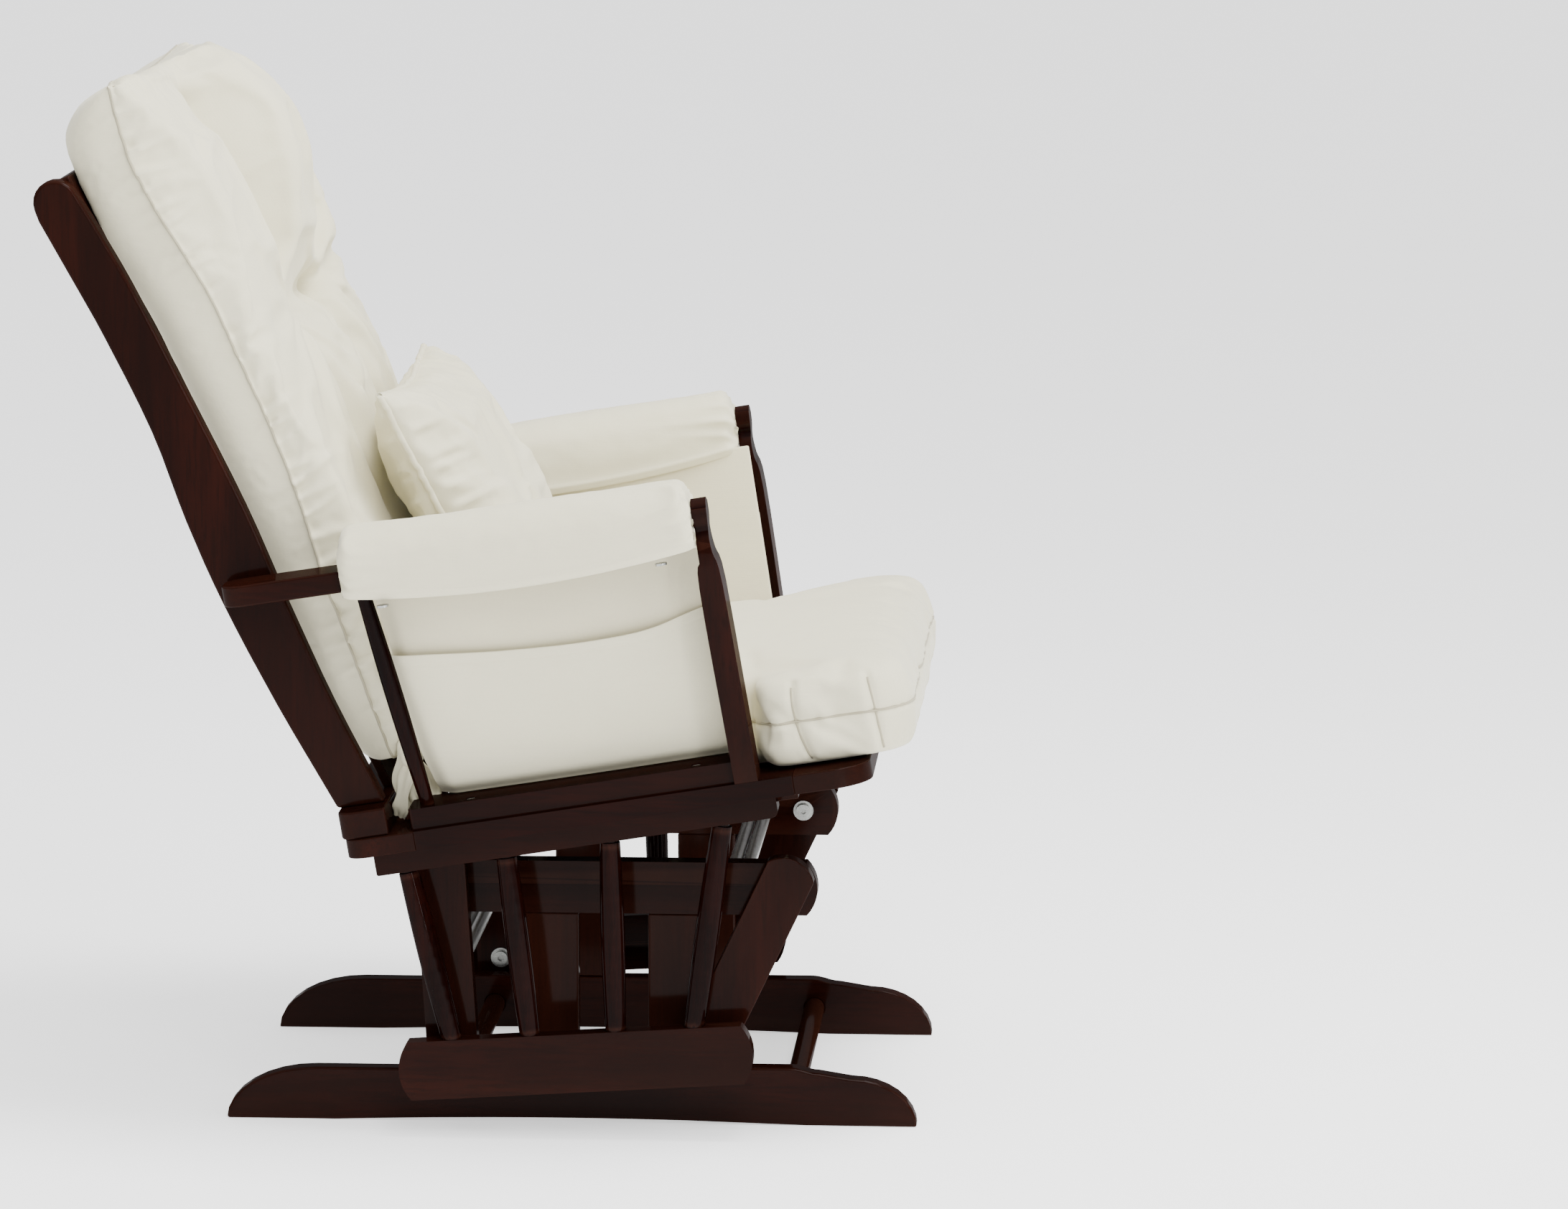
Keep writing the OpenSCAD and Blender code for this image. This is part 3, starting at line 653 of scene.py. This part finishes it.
def back_cushion():
    rows, cols = 150, 112
    mid, half = (BACK_HIGH + BACK_LOW) / 2, (BACK_HIGH - BACK_LOW) / 2
    up, full_up = cushion_section(half, 110, 0.55, rows)
    side, full_side = cushion_section(BACK_HALF, 82, 0.50, cols)
    w, x = np.meshgrid(up, side, indexing="ij")
    full = np.outer(full_up, full_side)
    x_share, w_share = x / BACK_HALF, w / half
    x = x * (1 - 0.05 * x_share**2 * w_share**8)
    w = mid + w * (1 - 0.008 * w_share**2 * x_share**8)
    seam = seam_u(w)
    front = seam - front_depth(w) * full - back_relief(x, w) * full**0.5
    rear = np.minimum(seam + rear_depth(w) * full, rear_limit(x, w) - 1)
    piece = sewn_pair("back_cushion_cover", np.stack([x, front, w], -1)[:, ::-1],
                      np.stack([x, rear, w], -1)[:, ::-1], BACK,
                      at_x=(x[:, ::-1], x[:, ::-1]), at_w=(w[:, ::-1], w[:, ::-1]),
                      at_front=(full[:, ::-1], -full[:, ::-1]))
    on_front, x0, w0 = kept(piece, "at_front"), kept(piece, "at_x"), kept(piece, "at_w")
    here = points_of(piece.data, BACK)
    pinned = np.where(here[:, 1] > rear_limit(here[:, 0], here[:, 2]) - 6, 1.0, 0.0)
    for tuft in (-TUFT_X, TUFT_X):
        pinned[(np.hypot(x0 - tuft, w0 - TUFT_W) < TUFT_RADIUS) & (on_front > 0)] = 1.0
    pinned[(on_front < 0.02) & (pinned < 1)] = 0.6
    inflate(piece, pinned, 3.5, 8, grow=0.035, swell=0.15)
    subdivide(piece)
    here = points_of(piece.data, BACK)
    on_front, x0, w0 = kept(piece, "at_front"), kept(piece, "at_x"), kept(piece, "at_w")
    from_seam = np.abs(here[:, 1] - seam_u(here[:, 2]))
    from_side = from_seam + 0.8 * (BACK_HALF - np.abs(here[:, 0])).clip(0)
    from_top = from_seam + 0.8 * (BACK_HIGH - here[:, 2]).clip(0)
    height = np.where(on_front > 0, 1.0, 0.3) * (
        puckers(w0 + 900 * (x0 > 0), from_side, 3, 21, 26, 5.2)
        + puckers(x0, from_top, 8, 11, 46, 3.4) * (w0 > mid))
    height -= 2.6 * bell(from_side, 2.2) + 2.2 * bell(from_top, 2.2)
    height += 1.5 * lumps(here, 60) + 0.5 * lumps(here, 22, 5.0)
    raise_by(piece, height)
    here = points_of(piece.data, BACK)
    here[:, 1] = np.minimum(here[:, 1], rear_limit(here[:, 0], here[:, 2]))
    crest = BACK_HIGH - 11 * (1 - (here[:, 0] / BACK_HALF) ** 2)
    over = (here[:, 2] - crest).clip(0)
    here[:, 2] -= over - TOP_PLAY * np.tanh(over / TOP_PLAY)
    by_post = here[:, 1] > POST_FRONT
    here[by_post, 0] = here[by_post, 0].clip(-BACK_HALF, BACK_HALF)
    move_to(piece, here, BACK)
    # A thin dark tube in the seam groove: painted shade along the seam.
    cord = tube("back_cushion_seam_shade", rim_loop(here, rows, cols), SEAM_SHADE_RADIUS, BACK, 6)
    finish_piece(cord, SEAM_SHADE_PAINT, "cream_fabric", "seat")
    finish_piece(piece, CREAM, "cream_fabric", "seat", "back_cushion")


# ---------- seat cushion ----------

CUSHION_SEAM = 44
# radius of the dark lines of painted shade in the ear darts
DART_SHADE_RADIUS = 1.1
EAR_SIDE = 330                  # a place across the chair that is outside the seat cushion
EAR_DARTS = (curve((-4, -263), (44, -260), (90, -256)),
             curve((-4, -200), (20, -190), (44, -185), (64, -184), (90, -188)))


def seat_cushion():
    """A T-shaped foam cushion, from its CAD outline with soft edges, filled by simulation."""
    mesh = bpy.data.meshes.new("seat_cushion_cover")
    bm = bmesh.new()
    bm.from_mesh(NODES["seat_cushion"].data)
    bm.transform(SEAT.inverted())
    join_flat_faces(bm)
    rim = [e for e in bm.edges if abs(e.verts[0].co.z - e.verts[1].co.z) < 0.001]
    bmesh.ops.bevel(bm, geom=rim, offset=0.014, segments=4, profile=0.5, affect="EDGES",
                    clamp_overlap=True)
    bm.to_mesh(mesh)
    bm.free()
    piece = bpy.data.objects.new("seat_cushion_cover", mesh)
    scene.collection.objects.link(piece)
    remesh = piece.modifiers.new("Remesh", "REMESH")
    remesh.mode = "VOXEL"
    remesh.voxel_size = 0.006
    soften = piece.modifiers.new("Soften", "SMOOTH")
    soften.factor = 0.5
    soften.iterations = 6
    evaluated(piece)
    local = points_of(piece.data) / MM
    x, y, z = local.T
    level = ease(z, 20, 80)
    dome = 9 * (1 - np.abs(x / 262) ** 2.4) * (1 - np.abs((y + 70) / 226).clip(0, 1) ** 2.4)
    local[:, 2] = z + level * dome.clip(0)
    local[:, 1] = y + 7 * ease(-y, 200, 290) * ((z - CUSHION_SEAM) / 44) ** 2
    move_to(piece, local, SEAT)
    inflate(piece, (local[:, 2] < 6) * 1.0, 4, 6, grow=0.015, swell=0.3)
    subdivide(piece)
    here = points_of(piece.data, SEAT)
    x, y, z = here.T
    look = normals_of(piece.data) @ np.array(SEAT.to_3x3())
    upright = 1 - ease(np.abs(look[:, 2]), 0.55, 0.85)
    above = z - CUSHION_SEAM
    height = -2.2 * bell(above, 2.4) * upright
    round_it = np.where(np.abs(look[:, 0]) > np.abs(look[:, 1]), y, x)
    height += upright * puckers(round_it, np.abs(above), 21, 22, 10, 1.2)
    on_ear = ease(np.abs(x), 244, 256) * ease(np.abs(look[:, 0]), 0.5, 0.8)
    front, rear = (y - dart(z) for dart in EAR_DARTS)
    height -= 2.6 * on_ear * (bell(front, 3.0) + bell(rear, 3.0))
    height += 1.8 * on_ear * ease(front, 0, 8) * (1 - ease(rear, -8, 0)) * (1 - bell(above, 12))
    height += 1.4 * lumps(here, 80, 2.0) + 0.35 * lumps(here * (1, 0.35, 1), 16, 4.0)
    raise_by(piece, height)
    here = points_of(piece.data, SEAT)
    here[:, 2] = np.maximum(here[:, 2], 0.8)
    move_to(piece, here, SEAT)
    # A thin dark tube along the seam: painted shade in the seam groove.
    cord = tube("seat_cushion_seam_shade", level_loop(piece, SEAT, CUSHION_SEAM), SEAM_SHADE_RADIUS, SEAT, 6)
    finish_piece(cord, SEAM_SHADE_PAINT, "cream_fabric", "seat")
    # Thin dark tubes in the ear darts' grooves: painted shade along the darts.
    for number, dart in enumerate(EAR_DARTS):
        for side in (-1, 1):
            path = [(side * EAR_SIDE, dart(np.array([z]))[0], z) for z in range(8, 80, 4)]
            path = on_surface(piece, SEAT, path, (-side, 0, 0))
            line = tube(f"ear_dart_shade_{number}{side + 1}", path, DART_SHADE_RADIUS, SEAT, 6, closed=False)
            finish_piece(line, SEAM_SHADE_PAINT, "cream_fabric", "seat")
    finish_piece(piece, CREAM, "cream_fabric", "seat", "seat_cushion")


# ---------- lumbar pillow ----------

PILLOW_W, PILLOW_U = 171, -179  # the middle of the pillow up the back, and its seam before the back
PILLOW_HALF = (186, 160)
PILLOW_REAR = -132              # the pillow's rear presses into the back cushion as far as this
PIPING = 3.2


def waist_of(w):
    """How far the pillow's sides pull in between its corners, as a share."""
    return 0.11 * (1 - (w / PILLOW_HALF[1]) ** 2)


def lumbar_pillow():
    rows, cols = 62, 70
    up, full_up = cushion_section(PILLOW_HALF[1], 50, 0.74, rows)
    side, full_side = cushion_section(PILLOW_HALF[0], 50, 0.74, cols)
    w, x = np.meshgrid(up, side, indexing="ij")
    full = np.outer(full_up, full_side)
    waist = waist_of(w) * (x / PILLOW_HALF[0]) ** 2
    belly = 0.10 * (1 - (x / PILLOW_HALF[0]) ** 2) * (w / PILLOW_HALF[1]) ** 2
    x, w = x * (1 - waist), w * (1 - belly)
    front = PILLOW_U - 60 * full
    rear = np.minimum(PILLOW_U + 46 * full, PILLOW_REAR)
    flip = (slice(None), slice(None, None, -1))
    piece = sewn_pair("lumbar_pillow_cover", np.stack([x, front, w + PILLOW_W], -1)[flip],
                      np.stack([x, rear, w + PILLOW_W], -1)[flip], BACK,
                      at_x=(x[flip], x[flip]), at_w=(w[flip], w[flip]), at_front=(full[flip], -full[flip]))
    edge = np.abs(kept(piece, "at_front")) < 1e-6
    inflate(piece, np.where(edge, 0.5, 0.0), 3, 7, grow=0.05, swell=0.3)
    loop = rim_loop(points_of(piece.data, BACK), rows, cols)
    subdivide(piece)
    x0, w0 = kept(piece, "at_x"), kept(piece, "at_w")
    here = points_of(piece.data, BACK)
    to_side = PILLOW_HALF[0] * (1 - waist_of(w0)) - np.abs(x0)
    to_end = PILLOW_HALF[1] - np.abs(w0)
    height = puckers(w0 + 700 * (x0 > 0), to_side.clip(0), 5, 20, 24, 3.6)
    height += puckers(x0 + 900 * (w0 > 0), to_end.clip(0), 6, 22, 18, 2.6)
    height += 1.5 * lumps(here, 55, 7.0) + 0.5 * lumps(here, 20, 9.0)
    raise_by(piece, height * ease(np.minimum(to_side, to_end), 0, 4))
    finish_piece(piece, CREAM, "cream_fabric", "seat", "lumbar_pillow")
    piping = tube("lumbar_pillow_piping", loop, PIPING, BACK)
    finish_piece(piping, CREAM, "cream_fabric", "seat")


# ---------- arm pads ----------

PAD_FRONT, PAD_REAR = -126, 206
PAD_END = 13                    # length of a pad's rounded ends
PAD_CORE, PAD_TUCK = 24.5, 0.85     # half the width that they draw in to, and how far they get there
RAIL_TOP, RAIL_UNDER = 255, 235
rail_outer = curve((-128, 331), (90, 321), (300, 311))
rail_inner = curve((-128, 286), (80, 273), (262, 262))


def pad_hem(y):
    """Height of the pad's lower edge, which hangs lowest in the middle of its length."""
    share = np.clip((y - PAD_FRONT) / (PAD_REAR - PAD_FRONT), 0, 1)
    return 230 - 13 * np.sin(math.pi * share) ** 0.8


def pad_section(y, steps):
    """One ring of an arm pad at a place y: a padded sleeve that hangs over the arm rail."""
    outer, inner = rail_outer(np.array([y]))[0], rail_inner(np.array([y]))[0]
    hem = pad_hem(y)
    mid = (outer + inner) / 2
    out = outer + 14 - mid
    gap = 1.2
    half = [(outer + gap - mid, RAIL_TOP + gap), (outer + gap - mid, RAIL_UNDER + 2), (out - 5.0, hem + 4),
            (out - 2.6, hem), (out - 0.4, hem + 3), (out + 0.6, hem + 15), (out + 1.2, 256), (out - 2.5, 272),
            (out - 13, 285), (0.45 * (out - 13), 290.5), (0, 291.5)]
    loop = [(x, z) for x, z in half] + [(-x, z) for x, z in half[-2::-1]]
    loop += [(-0.4 * out, RAIL_TOP + gap), (0, RAIL_TOP + gap), (0.4 * out, RAIL_TOP + gap)]
    loop = np.array(loop, float)
    closed = np.concatenate([loop[-2:], loop, loop[:3]])
    length = np.concatenate([[0], np.cumsum(np.hypot(*np.diff(closed, axis=0).T))])
    t = np.linspace(length[2], length[-3], steps, endpoint=False)
    xs = curve(*zip(length, closed[:, 0]))(t)
    zs = curve(*zip(length, closed[:, 1]))(t)
    return mid, xs, zs


def arm_pad(side):
    rings, steps = 74, 96
    body = []
    for share in np.linspace(0, 1, rings):
        y = PAD_FRONT + (PAD_REAR - PAD_FRONT) * share
        mid, xs, zs = pad_section(y, steps)
        end = min(y - PAD_FRONT, PAD_REAR - y)
        tuck = 1 - math.sqrt(max(0.0, 1 - (1 - min(end / PAD_END, 1)) ** 2))
        out = (zs > RAIL_TOP + 3) | (np.abs(xs) > 26)
        core_x = np.clip(xs, -PAD_CORE, PAD_CORE)
        core_z = np.minimum(zs, RAIL_TOP + 4)
        xs = np.where(out, xs + (core_x - xs) * tuck * PAD_TUCK, xs)
        zs = np.where(out, zs + (core_z - zs) * tuck * PAD_TUCK, zs)
        body.append(np.stack([mid + xs, np.full(steps, y), zs], -1))
    points = np.array(body)
    index = np.arange(rings * steps).reshape(rings, steps)
    index = np.concatenate([index, index[:, :1]], 1)
    faces = quads(index).tolist()
    faces += [index[0, :-1].tolist(), index[-1, :-1].tolist()[::-1]]
    name = "arm_pad_cover_" + side
    mirror = Matrix.Diagonal((-1 if side == "right" else 1, 1, 1, 1))
    matrix = SEAT @ mirror
    piece = new_piece(name, points.reshape(-1, 3), faces, matrix, flip=side == "right")
    subdivide(piece)
    here = points_of(piece.data, matrix)
    x, y, z = here.T
    outside = ease(z, 226, 246)
    height = outside * (1.6 * lumps(here * (1, 0.7, 1), 42, 3.0) + 0.6 * lumps(here, 15, 1.0))
    ends = np.minimum(y - PAD_FRONT, PAD_REAR - y)
    height += outside * puckers(z + x, ends.clip(0), 11, 13, 22, 5.0)
    height -= 1.2 * bell(z - pad_hem(y) - 8, 1.8)
    raise_by(piece, height)
    finish_piece(piece, CREAM, "cream_fabric", "seat", "arm_pad_" + side)


# ---------- cloth side panels with their pockets ----------

PANEL_X = -54                   # the cloth hangs this far inside the seat frame's side
PANEL_LOW, PANEL_TOP = 13, 231
PANEL_FRONT = -137
pocket_hem = curve((-137, 164), (-113, 160), (-68, 150), (-13, 147), (70, 149), (150, 157), (190, 160))
panel_rear = curve((20, 158), (60, 166), (130, 176), (230, 188))


def panel_sheet(name, side, top, lift, thickness, material, rows, cols):
    """Hanging cloth between the arm pad and the arm's base rail. top gives its upper edge and lift how far
    it stands out, both in millimetres."""
    down, along = np.meshgrid(np.linspace(0, 1, rows), np.linspace(0, 1, cols), indexing="ij")
    rear = panel_rear(PANEL_LOW + down * 200)
    y = PANEL_FRONT + (rear - PANEL_FRONT) * along
    z = PANEL_LOW + (top(y) - PANEL_LOW) * down
    x = PANEL_X + lift(y, z, down, along)
    mirror = Matrix.Diagonal((-1 if side == "right" else 1, 1, 1, 1))
    matrix = SEAT @ mirror @ SEAT.inverted() @ ARM
    piece = new_piece(name, np.stack([x, y, z], -1).reshape(-1, 3),
                      quads(np.arange(rows * cols).reshape(rows, cols)).tolist(), matrix,
                      flip=side == "left")
    solid = piece.modifiers.new("Cloth thickness", "SOLIDIFY")
    solid.thickness = thickness * MM
    solid.offset = 0
    piece.modifiers.new("Soft rim", "SUBSURF").levels = 1
    evaluated(piece)
    finish_piece(piece, material, "cream_fabric", "seat")
    return piece


def panel_lift(y, z, down, along):
    drape = 2.4 * np.sin(y / 27 + z / 60) * ease(z, 60, 230) * 0.6
    hang = 7 * np.sin(math.pi * down.clip(0, 1)) * (0.4 + 0.6 * np.sin(math.pi * along))
    roll = -9 * (1 - ease(z, PANEL_LOW, PANEL_LOW + 18)) ** 2
    tuck = -10 * ease(along, 0.93, 1.0) ** 2
    return hang + drape + roll + tuck


def pocket_lift(y, z, down, along):
    hem = pocket_hem(y) - z
    full = 4.4 + 3.5 * bell(hem, 34) * np.sin(math.pi * along.clip(0, 1)) ** 0.7
    stitch = -0.5 * bell(hem - 9, 1.6) + 0.7 * (hem < 9)
    creases = 1.5 * np.sin(y / 34 - z / 44) * ease(z, 40, 120)
    return panel_lift(y, z, 0.15 + 0.6 * (z - PANEL_LOW) / 210, along) + full + stitch + creases


def side_panels(side):
    sheet = panel_sheet("side_panel_cloth_" + side, side, lambda y: 0 * y + PANEL_TOP, panel_lift, 1.8,
                        LINING, 70, 100)
    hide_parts("side_panel_" + side)
    pocket = panel_sheet("side_pocket_" + side, side, pocket_hem, pocket_lift, 1.6, CREAM, 90, 100)


# ---------- ties ----------

STRAP_ROWS, STRAP_COLS = 60, 9
STRAP_THICKNESS = 1.6


def strap(name, path, width, across, matrix, flip):
    """Flat crumpled tape along a path, in millimetres."""
    path = np.asarray(path, float)
    fine = np.linspace(0, len(path) - 1, STRAP_ROWS)
    centre = np.stack([curve(*enumerate(path[:, k]))(fine) for k in range(3)], -1)
    share = np.linspace(-0.5, 0.5, STRAP_COLS)
    ahead = np.gradient(centre, axis=0)
    ahead /= np.linalg.norm(ahead, axis=1)[:, None]
    sideways = np.cross(ahead, np.asarray(across, float))
    sideways /= np.linalg.norm(sideways, axis=1)[:, None]
    outward = np.cross(sideways, ahead)
    gather = width * (0.7 + 0.3 * np.sin(fine * 2.1) ** 2)
    points = centre[:, None] + sideways[:, None] * (share * gather[:, None])[:, :, None]
    fold = 2.2 * np.sin(share * 14)[None, :] * (0.5 + 0.5 * np.cos(fine * 1.7))[:, None]
    points = points + outward[:, None] * fold[:, :, None]
    index = np.arange(STRAP_ROWS * STRAP_COLS).reshape(STRAP_ROWS, STRAP_COLS)
    piece = new_piece(name, points.reshape(-1, 3), quads(index).tolist(), matrix, flip)
    solid = piece.modifiers.new("Tape thickness", "SOLIDIFY")
    solid.thickness = STRAP_THICKNESS * MM
    solid.offset = 0
    piece.modifiers.new("Soft rim", "SUBSURF").levels = 1
    evaluated(piece)
    return piece


def cushion_tie(side):
    """The tape that ties the cushions to the foot of a back post: a loop and a gathered knot."""
    matrix = SEAT @ Matrix.Diagonal((-1 if side == "right" else 1, 1, 1, 1))
    flip = side == "right"
    loop = strap("tie_loop_" + side, [(226, 176, 84), (236, 182, 66), (240, 190, 44), (238, 186, 18),
                                      (234, 172, 8), (226, 168, 26), (232, 178, 52)], 24, (1, 0.2, 0),
                 matrix, flip)
    tail = strap("tie_tail_" + side, [(238, 180, 58), (246, 188, 40), (246, 196, 18), (240, 200, 6)], 18,
                 (1, 0.3, 0.2), matrix, flip)
    for piece in (loop, tail):
        finish_piece(piece, CREAM, "cream_fabric", "seat")
    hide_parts("cushion_ties")
    theta, phi = np.meshgrid(np.linspace(0, 2 * math.pi, 48, endpoint=False),
                             np.linspace(0.02, math.pi - 0.02, 30), indexing="xy")
    wrinkle = 1 + 0.16 * np.sin(5 * theta + 2 * phi) + 0.10 * np.sin(9 * theta - 3 * phi)
    ball = np.stack([np.sin(phi) * np.cos(theta) * 9 * wrinkle, np.sin(phi) * np.sin(theta) * 10 * wrinkle,
                     np.cos(phi) * 13], -1) + (236, 180, 62)
    index = np.arange(ball[..., 0].size).reshape(ball.shape[:2])
    index = np.concatenate([index, index[:, :1]], 1)
    faces = [f[::-1] for f in quads(index).tolist()]
    faces += [index[0, :-1].tolist(), index[-1, :-1].tolist()[::-1]]
    knot = new_piece("tie_knot_" + side, ball.reshape(-1, 3), faces, matrix, flip)
    finish_piece(knot, CREAM, "cream_fabric", "seat")


back_cushion()
seat_cushion()
lumbar_pillow()
for side in ("right", "left"):
    arm_pad(side)
    side_panels(side)
    cushion_tie(side)


# ---------- floor, light and camera ----------

def plain_material(name, color, rough, glow):
    n = Nodes(name)
    tone = n.noise(n.mapped((3, 3, 3)), 1.0, 2.0)
    shade = n.ramp(tone, (0.3, tuple(c * 0.985 for c in color)), (0.7, color))
    return n.done(shade, None, None, Roughness=rough, Emission_Color=(1, 1, 1, 1),
                  Emission_Strength=glow)


def floor():
    edge = 30
    piece = new_piece("studio_floor", np.array([(-edge, -edge, 0), (edge, -edge, 0), (edge, edge, 0),
                                                (-edge, edge, 0)]) / MM, [[0, 1, 2, 3]], Matrix())
    set_material(piece, plain_material("pale_floor", (0.93, 0.93, 0.93), 0.7, 0.9))


def area_light(name, place, target, size, power):
    data = bpy.data.lights.new(name, "AREA")
    data.shape = "RECTANGLE"
    data.size, data.size_y = size
    data.energy = power
    lamp = bpy.data.objects.new(name, data)
    lamp.location = place
    lamp.rotation_euler = (Vector(target) - Vector(place)).to_track_quat("-Z", "Y").to_euler()
    scene.collection.objects.link(lamp)


HORIZON, ZENITH = 0.30, 1.7     # the dome's strength
LAMP_TARGET = (0, 0, 0.5)
LAMPS = (("overhead", (-0.4, -0.9, 3.2), (1.2, 1.2), 120),
         ("front", (-1.6, -3.4, 1.9), (1.0, 1.2), 48),
         ("side", (-3.2, -0.6, 2.8), (0.9, 0.9), 34),
         ("strip_high", (-2.4, -1.0, 2.6), (0.16, 2.4), 40),
         ("strip_low", (-3.0, -1.9, 1.0), (0.14, 1.6), 22))


def studio():
    """A soft dome that is brightest overhead, three lamps, and two strips for highlights on the wood."""
    world = bpy.data.worlds.new("studio")
    world.use_nodes = True
    tree = world.node_tree
    direction = tree.nodes.new("ShaderNodeTexCoord")
    split = tree.nodes.new("ShaderNodeSeparateXYZ")
    dome = tree.nodes.new("ShaderNodeMapRange")
    for name, value in (("From Min", 0), ("From Max", 1), ("To Min", HORIZON), ("To Max", ZENITH)):
        dome.inputs[name].default_value = value
    tree.links.new(direction.outputs["Generated"], split.inputs["Vector"])
    tree.links.new(split.outputs["Z"], dome.inputs["Value"])
    background = tree.nodes["Background"]
    background.inputs["Color"].default_value = (0.99, 0.99, 1.0, 1)
    tree.links.new(dome.outputs["Result"], background.inputs["Strength"])
    scene.world = world
    for name, place, size, power in LAMPS:
        area_light(name, place, LAMP_TARGET, size, power)


CAMERA_YAW, CAMERA_PITCH = 3.351, -9.489    # degrees from straight across the chair
CAMERA_X, CAMERA_FRONT, CAMERA_Z = -6.400, 0.5658, 1.539
CAMERA_LENS = 154.4


def camera():
    """The photographed view: from the sitter's right, a little in front and above, through a long lens."""
    low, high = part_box("runner_right")
    base_y = (low.y + high.y) / 2
    data = bpy.data.cameras.new("camera")
    data.sensor_width = 36
    data.lens = CAMERA_LENS
    data.clip_end = 100
    lens = bpy.data.objects.new("camera", data)
    yaw, pitch = math.radians(CAMERA_YAW), math.radians(CAMERA_PITCH)
    look = Vector((math.cos(pitch) * math.cos(yaw), math.cos(pitch) * math.sin(yaw), math.sin(pitch)))
    lens.location = (CAMERA_X, base_y - CAMERA_FRONT, CAMERA_Z)
    lens.rotation_euler = look.to_track_quat("-Z", "Y").to_euler()
    scene.collection.objects.link(lens)
    scene.camera = lens


floor()
studio()
camera()
